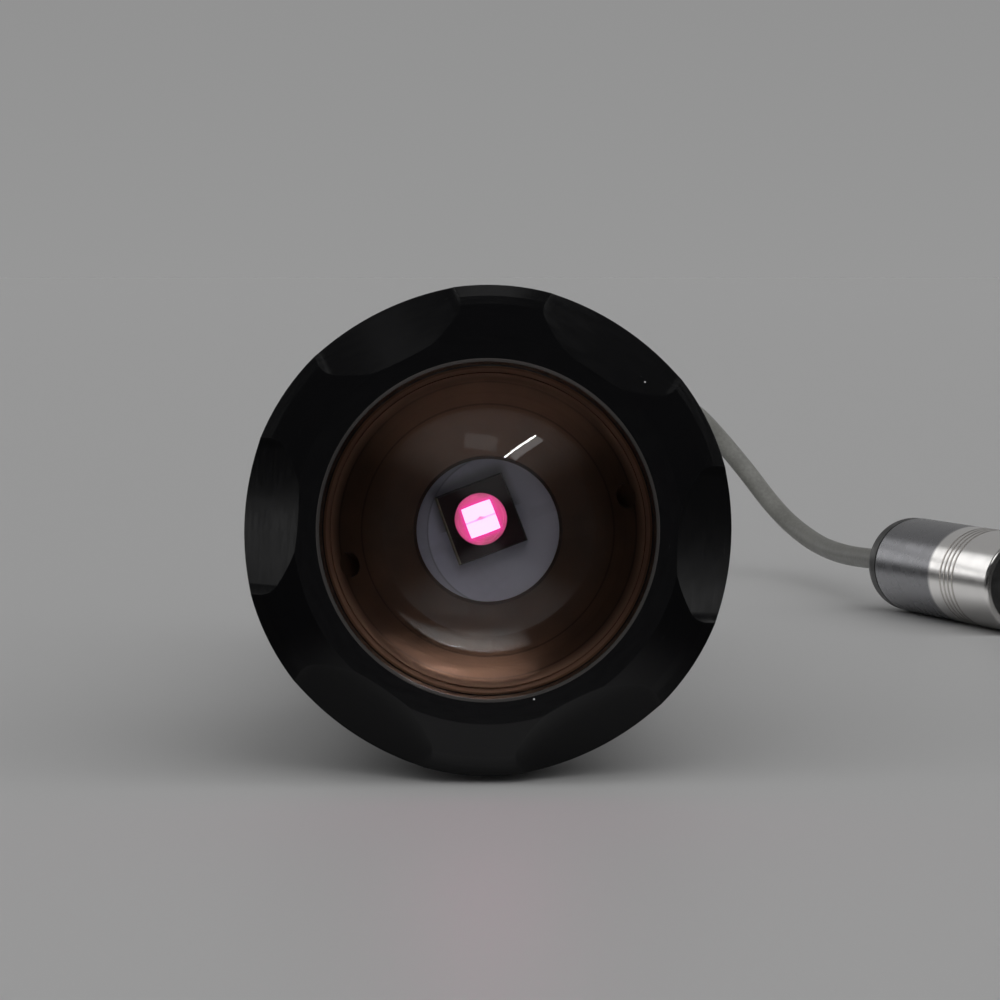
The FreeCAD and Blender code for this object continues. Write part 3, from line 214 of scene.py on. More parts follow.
FLOOR_HALF = 60
FLOOR_GREY = 0.6
FLOOR_GRAIN = 900
GLOSS_GREY = 0.02
STRIP_HALF = 0.008
STRIP_EDGE = 0.03
LAMP_FRONT = (-0.064, -0.061)
LAMP_PAINTED_SHADOW = 0.65
SOCKET_HIGHLIGHT_GREY = 0.95
SOCKET_PART_FRONT = (0.02, 0.045)
SOCKET_PART_LEFT = (0.01, 0.03)
SOCKET_PAINTED_SHADE_EDGE = (0.044, 0.054)
SOCKET_PAINTED_SHADE = 0.7
SQUARE = ((-1, -1), (1, -1), (1, 1), (-1, 1))
floor = add_mesh("floor", [(x * FLOOR_HALF, y * FLOOR_HALF, 0) for x, y in SQUARE], [(0, 1, 2, 3)])
tabletop = Finish("tabletop", Roughness=0.5, Specular_IOR_Level=0.1)
aside, behind = tabletop.world.parts()[:2]
off_strip = abs(aside).rise(STRIP_HALF, STRIP_HALF + STRIP_EDGE)
# Painted shadow: gloss sees the floor under the lamp darker.
painted_shadow_under_lamp = behind.rise(*LAMP_FRONT) * LAMP_PAINTED_SHADOW
unlit = 1 - (1 - off_strip) * (1 - painted_shadow_under_lamp)
# Painted reflection: gloss sees a bright part by the socket, for the socket's highlight, painted
# darker at one edge as shade.
painted_highlight_by_socket = behind.rise(*SOCKET_PART_FRONT) * aside.rise(*SOCKET_PART_LEFT)
painted_highlight_by_socket = painted_highlight_by_socket * (1 - aside.rise(*SOCKET_PAINTED_SHADE_EDGE) * SOCKET_PAINTED_SHADE)
in_gloss = tabletop.world.node("ShaderNodeLightPath", output="Is Glossy Ray")
grain = tabletop.noise(tabletop.world, FLOOR_GRAIN, detail=3.0) * 0.03
tone = (unlit * in_gloss - grain).blend(grey(FLOOR_GREY), grey(GLOSS_GREY))
tabletop.set("Base Color", (painted_highlight_by_socket * in_gloss).blend(tone, grey(SOCKET_HIGHLIGHT_GREY)))
tabletop.cover(floor)

# Light: a dim room with a pale back wall. A tube lamp in its fitting and a pale panel show
# in the lens, and walls, windows and ceilings in the gloss of the pieces that they are
# linked to. Broad suns, unseen in gloss and through the lens, light all else evenly.
BACKGROUND = 0.309
BACKGROUND_FALL = 0.3
DIM = 0.03
BACK_WALL = 0.25
BACK_WALL_EDGE = (0.45, 0.8)
world = bpy.data.worlds.new("room")
bpy.context.scene.world = world
world.use_nodes = True
direction = Signal(world.node_tree, None).node("ShaderNodeTexCoord", output="Generated")
depth, height = direction.parts()[1:]
back_wall = depth.rise(*BACK_WALL_EDGE) * BACK_WALL
seen = direction.node("ShaderNodeLightPath", output="Is Camera Ray")
level = (back_wall + DIM) * (1 - seen) + seen * (BACKGROUND - height * BACKGROUND_FALL)
surface = world.node_tree.nodes["Background"]
world.node_tree.links.new(level.socket, surface.inputs["Strength"])
surface.inputs["Color"].default_value = grey(1)


def toward(elevation, azimuth, distance):
    """A place seen from the lens at degrees of elevation and of azimuth to the right."""
    high = math.radians(elevation)
    aside = math.radians(azimuth)
    flat = math.cos(high)
    way = Vector((flat * math.sin(aside), -flat * math.cos(aside), math.sin(high)))
    return nose + distance * way


def add_light(name, kind, power, place, long_way=None):
    """A light that faces the lens, with its long way along a direction."""
    data = bpy.data.lights.new(name, kind)
    data.energy = power
    light = bpy.data.objects.new(name, data)
    bpy.context.scene.collection.objects.link(light)
    inward = (nose - place).normalized()
    along = (long_way or Vector((0, 0, 1))).normalized()
    across = along.cross(-inward).normalized()
    along = (-inward).cross(across)
    turn = Matrix((across, along, -inward)).transposed().to_4x4()
    light.matrix_world = Matrix.Translation(place) @ turn
    return light


INSIDE = (
    "lens", "lens_gasket", "pill_retainer", "led_board", "led_package", "led_chip", "led_dome",
)
BODY = (
    "head_sleeve", "guide_screw", "body_tube", "tail_cap", "gland_body", "gland_nut",
    "strain_relief",
)
lens_only = bpy.data.collections.new("lens_only")
all_outside = bpy.data.collections.new("all_outside")
all_but_bezel = bpy.data.collections.new("all_but_bezel")
body_only = bpy.data.collections.new("body_only")
for name, node in frame["nodes"].items():
    if name not in INSIDE:
        all_outside.objects.link(node)
        if name != "bezel_ring":
            all_but_bezel.objects.link(node)
    if name in BODY:
        body_only.objects.link(node)

# Rectangular lamps: each one's name, power, elevation and azimuth of its two ends, distance
# from the lens, width, and the pieces whose gloss shows it.
PANELS = (
    ("tube_lamp", 5.0, (51.1, 15.7), (57.8, 57.0), 2.4, 0.035, lens_only),
    ("tube_fitting", 1.0, (50.0, 22.0), (56.0, 54.0), 2.5, 0.22, lens_only),
    ("pale_panel", 0.42, (60, -26), (59, 10), 2.6, 0.4, lens_only),
    ("ceiling", 0.9, (94, 0), (113, 0), 2.5, 0.7, all_outside),
    ("side_ceiling", 0.28, (56, -106), (63, -124), 2.5, 0.4, all_outside),
    ("glow", 48.0, (49, -26), (48, 62), 2.6, 1.8, None),
    ("left_wall", 0.62, (0.6, -99), (12.5, -99), 2.5, 0.9, all_outside),
    ("right_wall", 0.65, (0.6, 99), (10.5, 99), 2.5, 0.9, all_outside),
    ("window", 2.6, (3, -141), (22, -141), 2.5, 1.1, all_outside),
    ("far_window", 3.0, (8, 141), (40, 141), 2.5, 1.1, all_outside),
    ("high_left", 4.5, (38, -75), (55, -75), 2.5, 1.6, all_but_bezel),
    ("high_right", 6.5, (38, 75), (55, 75), 2.5, 1.6, all_but_bezel),
    ("front_high", 14.0, (42, -48), (42, 48), 2.5, 1.4, body_only),
)
for name, power, start, end, distance, width, lit in PANELS:
    low = toward(*start, distance)
    high = toward(*end, distance)
    panel = add_light(name, "AREA", power, (low + high) / 2, high - low)
    panel.data.shape = "RECTANGLE"
    panel.data.size = width
    panel.data.size_y = (high - low).length
    panel.visible_diffuse = False
    panel.visible_transmission = lit in (None, lens_only)
    if lit:
        panel.light_linking.receiver_collection = lit
    else:
        glow = panel

# Glow: a wide lamp, faded to its edges, that shows only through the lens, on the brown ring
# and the board behind it.
glow.visible_glossy = False
glow.data.use_nodes = True
glow_tree = glow.data.node_tree
on_glow = Signal(glow_tree, None).node("ShaderNodeNewGeometry", output="Parametric")
across_glow, up_glow = on_glow.parts()[:2]
soft_glow = (1 - (across_glow * 2 - 1) ** 2) * (1 - (up_glow * 2 - 1) ** 2)
glow_tree.links.new(soft_glow.socket, glow_tree.nodes["Emission"].inputs["Strength"])

# Suns: each one's name, power, elevation, azimuth and spread in degrees. Gloss and glass
# don't show them.
SUNS = (
    ("key_sun", 0.93, 43, 50, 70),
    ("fill_sun", 0.98, 32, -35, 80),
    ("front_sun", 0.57, 25, 4, 50),
    ("rear_sun", 0.1, 70, 160, 120),
)
SUN_DISTANCE = 5
for name, power, elevation, azimuth, spread in SUNS:
    sun = add_light(name, "SUN", power, toward(elevation, azimuth, SUN_DISTANCE))
    sun.data.angle = math.radians(spread)
    sun.visible_glossy = False
    sun.visible_transmission = False

# Bezel: turned from aluminium bar, then six scallops milled in its edge, and anodised
# black. It screws on the sleeve and holds the lens. The rim round the lens is left bare,
# the edges are a little worn, and two small pale specks are painted on it.
ANODISED = (0.0024, 0.0024, 0.0028, 1)
WORN = (0.02, 0.0195, 0.019, 1)
WORN_WIDTH = 0.00012
MARKS = 9000
MARK_DEPTH = 0.0000012
MARK_STRETCH = 0.003
PATCHES = 2200
SPECK_GREY = 0.5
SPECK_RADIUS = 0.00007
SPECK_DEPTH = 0.004
PALE_SPECKS = ((0.01235, 0.01165), (0.0036, -0.0132))


def anodised(name, roughness, bare_radius, bare_depth, bare_tone):
    """Black anodising over tool marks, left off inside a radius near the front."""
    finish = Finish(name, Specular_IOR_Level=0.4)
    across = finish.radius - finish.forward
    around = finish.up.math("ARCTAN2", finish.up, finish.right) * MARK_STRETCH
    marks = finish.place.node("ShaderNodeCombineXYZ", {}, {0: across, 1: around})
    fine = finish.noise(marks, MARKS, detail=3.0)
    patches = finish.noise(marks, PATCHES)
    edge = fine.node("ShaderNodeBevel", {"samples": 4}, {"Radius": WORN_WIDTH})
    flat = fine.node("ShaderNodeNewGeometry", output="Normal")
    settings = {"operation": "DOT_PRODUCT"}
    bend = 1 - edge.node("ShaderNodeVectorMath", settings, {0: edge, 1: flat}, output="Value")
    # Two small pale specks are painted at given places on the front.
    specks = sum(finish.away(*speck) < SPECK_RADIUS for speck in PALE_SPECKS)
    specks = specks * (finish.forward > -SPECK_DEPTH)
    bare = (finish.radius < bare_radius) * (finish.forward > -bare_depth)
    wear = bend.rise(0.03, 0.3) * patches.rise(0.3, 0.8)
    tone = specks.blend(wear.blend(ANODISED, WORN), grey(SPECK_GREY))
    finish.set("Base Color", bare.blend(tone, bare_tone))
    finish.set("Metallic", bare * 0.6)
    finish.set("Roughness", patches.rise(0.25, 0.8) * 0.1 + (roughness - 0.08) + fine * 0.06)
    finish.bump(fine, MARK_DEPTH, edge)
    return finish


RIM_RADIUS = 0.01345
RIM_DEPTH = 0.0004
RIM_TONE = (0.1, 0.093, 0.09, 1)
bezel_finish = anodised("bezel_anodising", 0.22, RIM_RADIUS, RIM_DEPTH, RIM_TONE)
bezel_finish.cover(frame["nodes"]["bezel_ring"])

# Lens: pressed glass with a part-ellipsoid front, a flat back and a thin flange. It sits
# on the bezel's lip, and the gasket presses it there.
LENS_SEMI_DEPTH = 0.0675
LENS_SEMI_WIDTH = 0.03019
LENS_DOME = 0.0131
LENS_FLANGE_RADIUS = 0.0141
LENS_SEAT = 0.0062
LENS_BACK = 0.0079
LENS_RINGS = 48
LENS_STEPS = 160
SEAM_STEP = 0.00008
GLASS_TINT = (0.97, 0.985, 0.98, 1)
GLASS_IOR = 1.52


def spin(name, outline, steps):
    """A piece turned round the lamp's axis from (radius, depth) points, with normals out."""
    corners = []
    faces = []
    rows = []
    for radius, depth_back in outline:
        if radius == 0:
            rows.append([len(corners)])
            corners.append(torch @ Vector((0, 0, -depth_back)))
            continue
        rows.append(list(range(len(corners), len(corners) + steps)))
        for step in range(steps):
            angle = 2 * math.pi * step / steps
            place = Vector((radius * math.cos(angle), radius * math.sin(angle), -depth_back))
            corners.append(torch @ place)
    for first, second in zip(rows, rows[1:]):
        for step in range(steps):
            after = (step + 1) % steps
            ends = [first[step % len(first)], first[after % len(first)]]
            ends += [second[after % len(second)], second[step % len(second)]]
            faces.append(list(dict.fromkeys(ends)))
    piece = add_mesh(name, corners, faces)
    piece.data.polygons.foreach_set("use_smooth", [True] * len(faces))
    shape = bmesh.new()
    shape.from_mesh(piece.data)
    bmesh.ops.recalc_face_normals(shape, faces=shape.faces)
    shape.to_mesh(piece.data)
    shape.free()
    return piece


def lens_sag(radius):
    """How far the curved face falls back from its vertex at a radius."""
    share = math.sqrt(1 - (radius / LENS_SEMI_WIDTH) ** 2)
    return LENS_SEMI_DEPTH * (1 - share)


vertex_depth = LENS_SEAT - lens_sag(LENS_DOME)
curve = []
for ring in range(LENS_RINGS + 1):
    radius = LENS_DOME * ring / LENS_RINGS
    curve.append((radius, vertex_depth + lens_sag(radius)))
flange = [
    (LENS_DOME + SEAM_STEP, LENS_SEAT),
    (LENS_FLANGE_RADIUS - SEAM_STEP, LENS_SEAT),
    (LENS_FLANGE_RADIUS, LENS_SEAT + SEAM_STEP),
    (LENS_FLANGE_RADIUS, LENS_BACK - SEAM_STEP),
    (LENS_FLANGE_RADIUS - SEAM_STEP, LENS_BACK),
    (LENS_FLANGE_RADIUS - 2 * SEAM_STEP, LENS_BACK),
    (0, LENS_BACK),
]
lens = spin("pressed_lens", curve + flange, LENS_STEPS)
glass = Finish("lens_glass", Base_Color=GLASS_TINT, IOR=GLASS_IOR, Transmission_Weight=1.0)
glass.set("Roughness", 0.0)
glass.cover(lens)
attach(lens, "head")
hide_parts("lens")
lens_only.objects.link(lens)


# Rubber: the flat gasket between the lens and the sleeve, the sliding and sealing rings,
# and the boot on the lead are moulded in black silicone, a little dusty.
def mottled(name, dark, light, roughness, scale, depth, **values):
    """A finish whose colour, roughness and height vary with fine and broad noise."""
    finish = Finish(name, **values)
    fine = finish.noise(finish.place, scale, detail=4.0)
    broad = finish.noise(finish.place, scale / 9)
    finish.set("Base Color", (fine * 0.5 + broad * 0.5).rise(0.35, 0.65).blend(dark, light))
    finish.set("Roughness", broad.rise(0.3, 0.7) * 0.16 + roughness)
    finish.bump(fine, depth)
    return finish


RINGS = ("lens_gasket", "slide_ring_front", "slide_ring_rear", "tail_ring", "gland_seal")
rubber = mottled("black_rubber", grey(0.008), grey(0.02), roughness=0.6, scale=5200, depth=0.000004)
rubber.cover(*[frame["nodes"][name] for name in RINGS], frame["nodes"]["strain_relief"])

# Head sleeve, tube and tail cap: turned from the same bar and anodised with the bezel.
# Their tool marks run round them as fine hoops. The tube's front end is left bare, as
# brown as the ring that it meets.
TUBE_RADIUS = 0.0127
TUBE_END_DEPTH = 0.0106
TUBE_END_TONE = (0.42, 0.21, 0.13, 1)
sleeve_finish = anodised("sleeve_anodising", 0.36, TUBE_RADIUS, TUBE_END_DEPTH, TUBE_END_TONE)
sleeve_finish.cover(*[frame["nodes"][name] for name in ("head_sleeve", "body_tube", "tail_cap")])

# Guide screw: a blackened steel grub screw with a hexagon socket, screwed through the
# sleeve into the tube's slot.
steel = mottled(
    "black_steel", grey(0.02), grey(0.06), roughness=0.28, scale=3800, depth=0.000003, Metallic=1.0
)
steel.cover(frame["nodes"]["guide_screw"])

# Retaining ring: brass, coloured copper-brown, turned with fine rings and two shallow
# grooves, painted dark as reflections of the bezel. Its outer step is duller, and painted
# paler as painted light that reaches it through the lens. The colour is a little uneven.
RING_GROOVES = (0.0077, 0.0095)
RING_GROOVE_WIDTH = 0.00012
RING_STEP = (0.0094, 0.0106)
RING_MARKS = 7000
RING_CLOUDS = 500
RING_RELIEF = 0.000002
BROWN_DARK = (0.15, 0.078, 0.052, 1)
BROWN_LIGHT = (0.19, 0.095, 0.06, 1)
BROWN_STEP_PAINTED_LIGHT = (0.7, 0.37, 0.24, 1)
BROWN_PAINTED_RING_REFLECTION = (0.05, 0.028, 0.02, 1)
brown = Finish("brown_metal")
outer = brown.radius.rise(*RING_STEP)
turned = brown.place.node("ShaderNodeCombineXYZ", {}, {0: brown.radius})
fine_rings = brown.noise(turned, RING_MARKS, detail=3.0)
cloud = brown.noise(brown.place, RING_CLOUDS, detail=4.0)
# Two rings are painted dark as reflections of the bezel, and also sink a little in the bump.
lines = sum(1 - abs(brown.radius - groove).rise(0, RING_GROOVE_WIDTH) for groove in RING_GROOVES)
# The outer step is painted paler, as painted light that reaches it through the lens.
tone = outer.blend(cloud.rise(0.25, 0.75).blend(BROWN_DARK, BROWN_LIGHT), BROWN_STEP_PAINTED_LIGHT)
brown.set("Base Color", (lines * 0.5 + fine_rings * 0.25).blend(tone, BROWN_PAINTED_RING_REFLECTION))
brown.set("Metallic", 0.8 - outer * 0.65)
brown.set("Roughness", cloud * 0.12 + 0.26 + outer * 0.25)
brown.bump(fine_rings - lines, RING_RELIEF)
brown.cover(frame["nodes"]["pill_retainer"])

# Light board: aluminium-core board with a pale, faintly lilac solder mask over two wide
# traces. A darker crescent at its left is painted shade of the ring's bore, a painted
# shadow lies along the package's upper side, and the board's right is painted lighter.
BOARD_TRACE_HALF = 0.00025
BOARD_TRACE_SLOPE = 0.376
BOARD_TRACE_START = (0.0023, 0.0024)
BOARD_TRACE_TONE = (0.3, 0.29, 0.36, 1)
PACKAGE_TURN = math.radians(-20.6)
PACKAGE_HALF = 0.001875
PACKAGE_OFFSET = (-0.00038, 0.0006)
CRESCENT_RADIUS = 0.0041
CRESCENT_OFFSET = 0.00095
CRESCENT_LINE = 0.00007
CRESCENT_SHADE_TONE = (0.1, 0.1, 0.14, 1)
MASK_MOTTLE = 2600
MASK_WEAVE = 600
MASK_RELIEF = 0.000003
MASK_DARK = (0.62, 0.59, 0.74, 1)
MASK_LIGHT = (0.74, 0.71, 0.88, 1)
MASK_PAINTED_LIGHT = (0.9, 0.86, 1.0, 1)
PACKAGE_SHADOW_TONE = (0.1, 0.07, 0.1, 1)


def package_axes(finish):
    """Distances along and across the package's own sides, from its middle."""
    east = finish.right - PACKAGE_OFFSET[0]
    north = finish.up - PACKAGE_OFFSET[1]
    lengthwise = east * math.cos(PACKAGE_TURN) - north * math.sin(PACKAGE_TURN)
    crosswise = east * math.sin(PACKAGE_TURN) + north * math.cos(PACKAGE_TURN)
    return lengthwise, crosswise


mask = Finish("board_mask")
mottle = mask.noise(mask.place, MASK_MOTTLE, detail=4.0)
weave = mask.noise(mask.place, MASK_WEAVE)
gap = abs(mask.up - mask.right * BOARD_TRACE_SLOPE)
traces = 1 - gap.rise(BOARD_TRACE_HALF, BOARD_TRACE_HALF * 1.5)
traces = traces * mask.radius.rise(*BOARD_TRACE_START)
lengthwise, crosswise = package_axes(mask)
past_end = abs(lengthwise) - PACKAGE_HALF
past_side = crosswise - PACKAGE_HALF
# Painted shadow along the package's upper side.
painted_shadow_above_package = (1 - past_end.rise(-0.0002, 0.0005)) * (1 - past_side.rise(0.0001, 0.0009))
painted_shadow_above_package = painted_shadow_above_package * (crosswise > 0)
# Painted shade: a darker crescent at the board's left, with a darker line at its edge.
crescent = mask.away(CRESCENT_OFFSET, 0)
line = 1 - abs(crescent - CRESCENT_RADIUS).rise(0, CRESCENT_LINE)
shade = crescent.rise(CRESCENT_RADIUS - 0.0001, CRESCENT_RADIUS) * 0.25 + line * 0.3
paint = mottle.blend(MASK_DARK, MASK_LIGHT)
# Painted light: the board's right is painted lighter.
paint = mask.right.rise(-0.001, 0.005).blend(paint, MASK_PAINTED_LIGHT)
paint = (painted_shadow_above_package * 0.62).blend(paint, PACKAGE_SHADOW_TONE)
paint = shade.blend(paint, CRESCENT_SHADE_TONE)
mask.set("Base Color", (traces * 0.1).blend(paint, BOARD_TRACE_TONE))
mask.set("Roughness", weave * 0.1 + 0.4)
mask.bump(mottle - traces, MASK_RELIEF)
mask.cover(frame["nodes"]["led_board"])

# Emitter: a black moulded package, soldered a little askew, with a dish for the lit die
# and a clear silicone dome over it. The die has two fields with a bond pad between. Its
# light on the dish is painted as a pink glow that the dish gives off, which reddens the
# silicone too, and a pale line on one end of the package is a painted edge highlight.
PACKAGE_GRAIN = 9000
PACKAGE_RELIEF = 0.000004
PACKAGE_DARK = (0.024, 0.005, 0.008, 1)
PACKAGE_LIGHT = (0.036, 0.009, 0.013, 1)
EDGE_HIGHLIGHT_START = -0.965 * PACKAGE_HALF
EDGE_HIGHLIGHT_TONE = (0.32, 0.27, 0.2, 1)
DISH_EDGE = 0.00138
DISH_SWIRL = 1500
DISH_GLOW_BRIGHT = (0.85, 0.1, 0.32, 1)
DISH_GLOW_DIM = (0.34, 0.085, 0.13, 1)
DISH_GLOW_RIM = (0.2, 0.04, 0.07, 1)
FRINGE_GLOW_TONE = (1.0, 0.06, 0.42, 1)
DIE_HALF = 0.00055
DIE_LINE_HALF = 0.00003
DIE_BASE = (0.9, 0.5, 0.7, 1)
DIE_FIELD = (1.6, 1.05, 1.5, 1)
DIE_DARK = (0.8, 0.3, 0.55, 1)
PAD_HALF_LENGTH = 0.00021
PAD_HALF_WIDTH = 0.00009
SPILL_POWER = 0.0007
SPILL_GAP = 0.002
SPILL_SIZE = 0.011
SPILL_COLOUR = (1.0, 0.12, 0.45)
DOME_HAZE = 5000
DOME_TINT = (1, 0.85, 0.9, 1)
DOME_IOR = 1.42
package_finish = Finish("package_black", Roughness=0.6, Specular_IOR_Level=0.15)
package_finish.set("Emission Strength", 1.0)
lengthwise, crosswise = package_axes(package_finish)
grain = package_finish.noise(package_finish.place, PACKAGE_GRAIN)
moulding = grain.blend(PACKAGE_DARK, PACKAGE_LIGHT)
# A pale line on one end of the package is a painted edge highlight.
package_finish.set("Base Color", (lengthwise < EDGE_HIGHLIGHT_START).blend(moulding, EDGE_HIGHLIGHT_TONE))
# The dish and a fringe round the die give off a painted pink glow, for the die's light on them.
from_die = (lengthwise ** 2 + crosswise ** 2) ** 0.5
beside_die = lengthwise.math("MAXIMUM", abs(lengthwise), abs(crosswise))
fringe = 1 - beside_die.rise(DIE_HALF, DIE_HALF * 1.35)
swirl = package_finish.noise(package_finish.place, DISH_SWIRL, detail=3.0)
dish = (swirl.rise(0.35, 0.65) * 0.5).blend(DISH_GLOW_BRIGHT, DISH_GLOW_DIM)
dish = from_die.rise(DISH_EDGE * 0.86, DISH_EDGE).blend(dish, DISH_GLOW_RIM)
dish = fringe.blend(dish, FRINGE_GLOW_TONE)
in_dish = 1 - from_die.rise(DISH_EDGE * 0.97, DISH_EDGE)
package_finish.set("Emission Color", in_dish.blend(grey(0), dish))
package_finish.bump(grain, PACKAGE_RELIEF)
package_finish.cover(frame["nodes"]["led_package"])
die = Finish("lit_die", Base_Color=DIE_BASE, Emission_Strength=1.0)
from_middle, from_line = (abs(side) for side in package_axes(die))
pad = from_line / PAD_HALF_WIDTH + from_middle / PAD_HALF_LENGTH
dark = pad.math("MAXIMUM", (from_line < DIE_LINE_HALF) * 0.75, pad < 1)
die.set("Emission Color", dark.blend(DIE_FIELD, DIE_DARK))
die.cover(frame["nodes"]["led_chip"])
dome_finish = Finish("dome_silicone", Base_Color=DOME_TINT, IOR=DOME_IOR, Transmission_Weight=1.0)
haze = dome_finish.noise(dome_finish.place, DOME_HAZE)
dome_finish.set("Roughness", haze * 0.05)
dome_finish.cover(frame["nodes"]["led_dome"])
spill = add_light("emitter_spill", "AREA", SPILL_POWER, nose + forward * SPILL_GAP)
spill.data.shape = "DISK"
spill.data.size = SPILL_SIZE
spill.data.color = SPILL_COLOUR
turned_out = Matrix.Rotation(math.pi, 4, "Y")
spill.matrix_world = torch @ Matrix.Translation((0, 0, SPILL_GAP)) @ turned_out
spill.visible_camera = False
floor_only = bpy.data.collections.new("floor_only")
floor_only.objects.link(floor)
spill.light_linking.receiver_collection = floor_only

# Pill: turned aluminium, left bare, that carries the light board and its heat. Tool marks
# ring it.
TURNING_MARKS = 6000
TURNING_RELIEF = 0.000002
ALUMINIUM_CLOUDS = 700
ALUMINIUM_DARK = grey(0.42)
ALUMINIUM_LIGHT = grey(0.62)
bare = Finish("bare_aluminium", Metallic=1.0)
marks = bare.place.node("ShaderNodeCombineXYZ", {}, {0: bare.radius - bare.forward})
turning = bare.noise(marks, TURNING_MARKS, detail=3.0)
cloud = bare.noise(bare.place, ALUMINIUM_CLOUDS, detail=3.0)
bare.set("Base Color", (turning * 0.5 + cloud * 0.5).blend(ALUMINIUM_DARK, ALUMINIUM_LIGHT))
bare.set("Roughness", cloud * 0.2 + 0.22)
bare.bump(turning, TURNING_RELIEF)
bare.cover(frame["nodes"]["pill"])

# Driver: a green fibreglass board behind the pill, with a ferrite inductor, a chip and a
# ceramic capacitor soldered on. Copper tracks show as paler lines under its mask.
TRACK_PITCH = 0.0022
TRACK_WANDER = 260
GREEN_CLOUDS = 1400
TRACK_GREEN = (0.02, 0.2, 0.075, 1)
GREEN_DARK = (0.006, 0.06, 0.022, 1)
GREEN_LIGHT = (0.012, 0.11, 0.04, 1)
TAN_DARK = (0.24, 0.15, 0.075, 1)
TAN_LIGHT = (0.36, 0.25, 0.13, 1)
green = mottled("board_green", GREEN_DARK, GREEN_LIGHT, roughness=0.3, scale=2600, depth=0.000003)
pitches = green.right / TRACK_PITCH
zigzag = pitches.math("PINGPONG", pitches, 0.5)
wander = green.noise(green.place, TRACK_WANDER)
tracks = (zigzag + wander * 0.5 - 0.25).rise(0.3, 0.34)
ground = green.noise(green.place, GREEN_CLOUDS).blend(GREEN_DARK, GREEN_LIGHT)
green.set("Base Color", tracks.blend(ground, TRACK_GREEN))
green.cover(frame["nodes"]["driver_board"])
ferrite = mottled("ferrite", grey(0.02), grey(0.05), roughness=0.5, scale=3600, depth=0.000006)
ferrite.cover(frame["nodes"]["driver_inductor"])
chip = mottled("chip_black", grey(0.01), grey(0.022), roughness=0.45, scale=9000, depth=0.000002)
chip.cover(frame["nodes"]["driver_chip"])
tan = mottled("capacitor_tan", TAN_DARK, TAN_LIGHT, roughness=0.4, scale=5000, depth=0.000003)
tan.cover(frame["nodes"]["driver_capacitor"])

# Wires: two from the driver to the light board and two in from the tail, each of fine
# strands in a soft red or black jacket.
WIRES = (
    ("red", (0.3, 0.008, 0.008, 1), (0.42, 0.02, 0.016, 1)),
    ("black", grey(0.008), grey(0.018)),
)
for colour, dark, light in WIRES:
    name = "insulation_" + colour
    insulation = mottled(name, dark, light, roughness=0.38, scale=3000, depth=0.000002)
    insulation.cover(*[frame["nodes"][run + "_wire_" + colour] for run in ("lamp", "supply")])

# Gland: a black nylon body screwed in the tail cap, and the nut that grips the lead. Both
# are moulded with a fine spark-eroded grain.
nylon = mottled("black_nylon", grey(0.008), grey(0.018), roughness=0.42, scale=6500, depth=0.000007)
nylon.cover(frame["nodes"]["gland_body"], frame["nodes"]["gland_nut"])

# Supply lead: a thin two-core cable in a soft grey jacket. It leaves the boot, rises in a
# loose bend to the right of the lamp and comes back to its socket.
LEAD_DIAMETER = 0.0025
LEAD_EXIT = (0.0, 0.07519, 0.01096)
SOCKET_REAR = (0.0496, 0.0985, 0.0056)
LEAD_POINTS = (
    LEAD_EXIT,
    (0.0002, 0.0860, 0.0106),
    (0.0020, 0.1000, 0.0124),
    (0.0060, 0.1150, 0.0170),
    (0.0115, 0.1295, 0.0220),
    (0.0185, 0.1420, 0.0250),
    (0.0265, 0.1505, 0.0232),
    (0.0335, 0.1535, 0.0155),
    (0.0390, 0.1490, 0.0080),
    (0.0428, 0.1385, 0.0050),
    (0.0450, 0.1250, 0.0046),
    (0.0467, 0.1110, 0.0051),
    SOCKET_REAR,
)
JACKET_DARK = (0.165, 0.165, 0.153, 1)
JACKET_LIGHT = (0.215, 0.215, 0.2, 1)
lead_curve = bpy.data.curves.new("supply_lead", "CURVE")
lead_curve.dimensions = "3D"
route = lead_curve.splines.new("NURBS")
route.points.add(len(LEAD_POINTS) - 1)
for point, place in zip(route.points, LEAD_POINTS):
    point.co = (*place, 1)
route.order_u = 3
route.use_endpoint_u = True
route.resolution_u = 16
lead_curve.bevel_depth = LEAD_DIAMETER / 2
lead_curve.bevel_resolution = 8
lead_curve.use_fill_caps = True
lead = bpy.data.objects.new("supply_lead", lead_curve)
bpy.context.scene.collection.objects.link(lead)
jacket = mottled(
    "lead_jacket", JACKET_DARK, JACKET_LIGHT, roughness=0.42, scale=2400, depth=0.000004
)
lead_curve.materials.append(jacket.material)
jacket.cover(frame["nodes"]["lead_inner"], frame["nodes"]["socket_lead_end"])
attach(lead, "barrel")
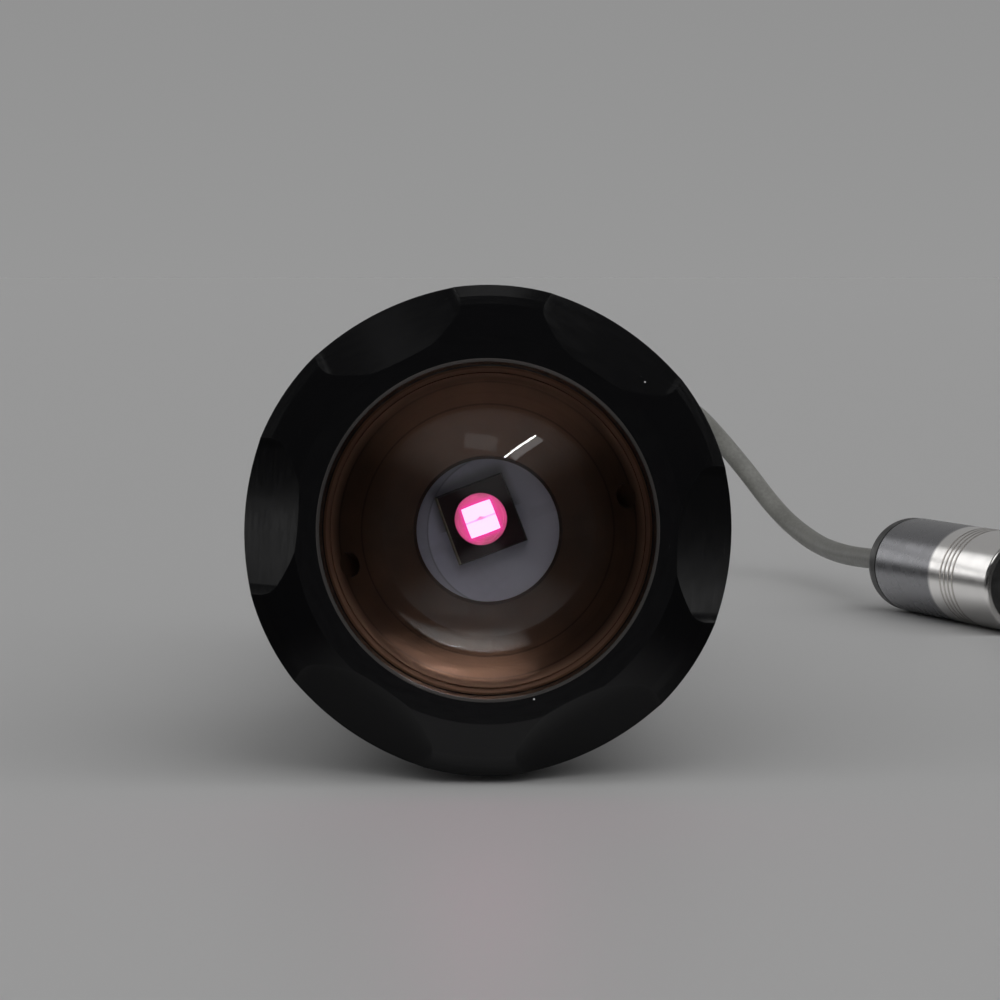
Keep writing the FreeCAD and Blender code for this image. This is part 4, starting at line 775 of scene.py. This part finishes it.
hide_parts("lead")
all_outside.objects.link(lead)
all_but_bezel.objects.link(lead)

# Power socket: a nickel-plated shell over a moulded insulator, with a centre pin and a
# side contact inside. A black rear cap holds the lead. Fine hoops brush the plating, and
# its front half is painted much brighter than the rear, as a painted highlight.
SOCKET_FRONT = (0.0605, 0.0627, 0.0056)
SHELL_CHANGE = 0.0165
NICKEL_HOOPS = 7000
NICKEL_SMEARS = 420
NICKEL_RELIEF = 0.000001
NICKEL_HIGHLIGHT = (0.93, 0.91, 0.89, 1)
NICKEL_DARK = (0.2, 0.2, 0.215, 1)
NICKEL_LIGHT = (0.27, 0.27, 0.285, 1)
nickel = Finish("nickel", Metallic=1.0)
settings = {"operation": "SUBTRACT"}
back = nickel.world.node("ShaderNodeVectorMath", settings, {0: nickel.world, 1: SOCKET_FRONT})
inputs = {0: back, 1: (Vector(SOCKET_REAR) - Vector(SOCKET_FRONT)).normalized()}
back = back.node("ShaderNodeVectorMath", {"operation": "DOT_PRODUCT"}, inputs, output="Value")
hoops = back.node("ShaderNodeCombineXYZ", {}, {0: back})
brushing = nickel.noise(hoops, NICKEL_HOOPS, detail=3.0)
smears = nickel.noise(nickel.world, NICKEL_SMEARS, detail=3.0)
# The front half is painted much brighter, as a painted highlight.
highlight_half = 1 - back.rise(SHELL_CHANGE - 0.001, SHELL_CHANGE)
dull = (brushing * 0.6 + smears * 0.4).blend(NICKEL_DARK, NICKEL_LIGHT)
nickel.set("Base Color", highlight_half.blend(dull, NICKEL_HIGHLIGHT))
nickel.set("Roughness", smears * 0.14 + 0.2 - highlight_half * 0.06)
nickel.bump(brushing, NICKEL_RELIEF)
nickel.cover(*[frame["nodes"][name] for name in ("socket_shell", "socket_pin", "socket_contact")])
SOCKET_GRAIN = {"roughness": 0.32, "scale": 6000, "depth": 0.000004}
socket_black = mottled("socket_black", grey(0.01), grey(0.022), **SOCKET_GRAIN)
socket_black.cover(frame["nodes"]["socket_rear_cap"], frame["nodes"]["socket_insulator"])
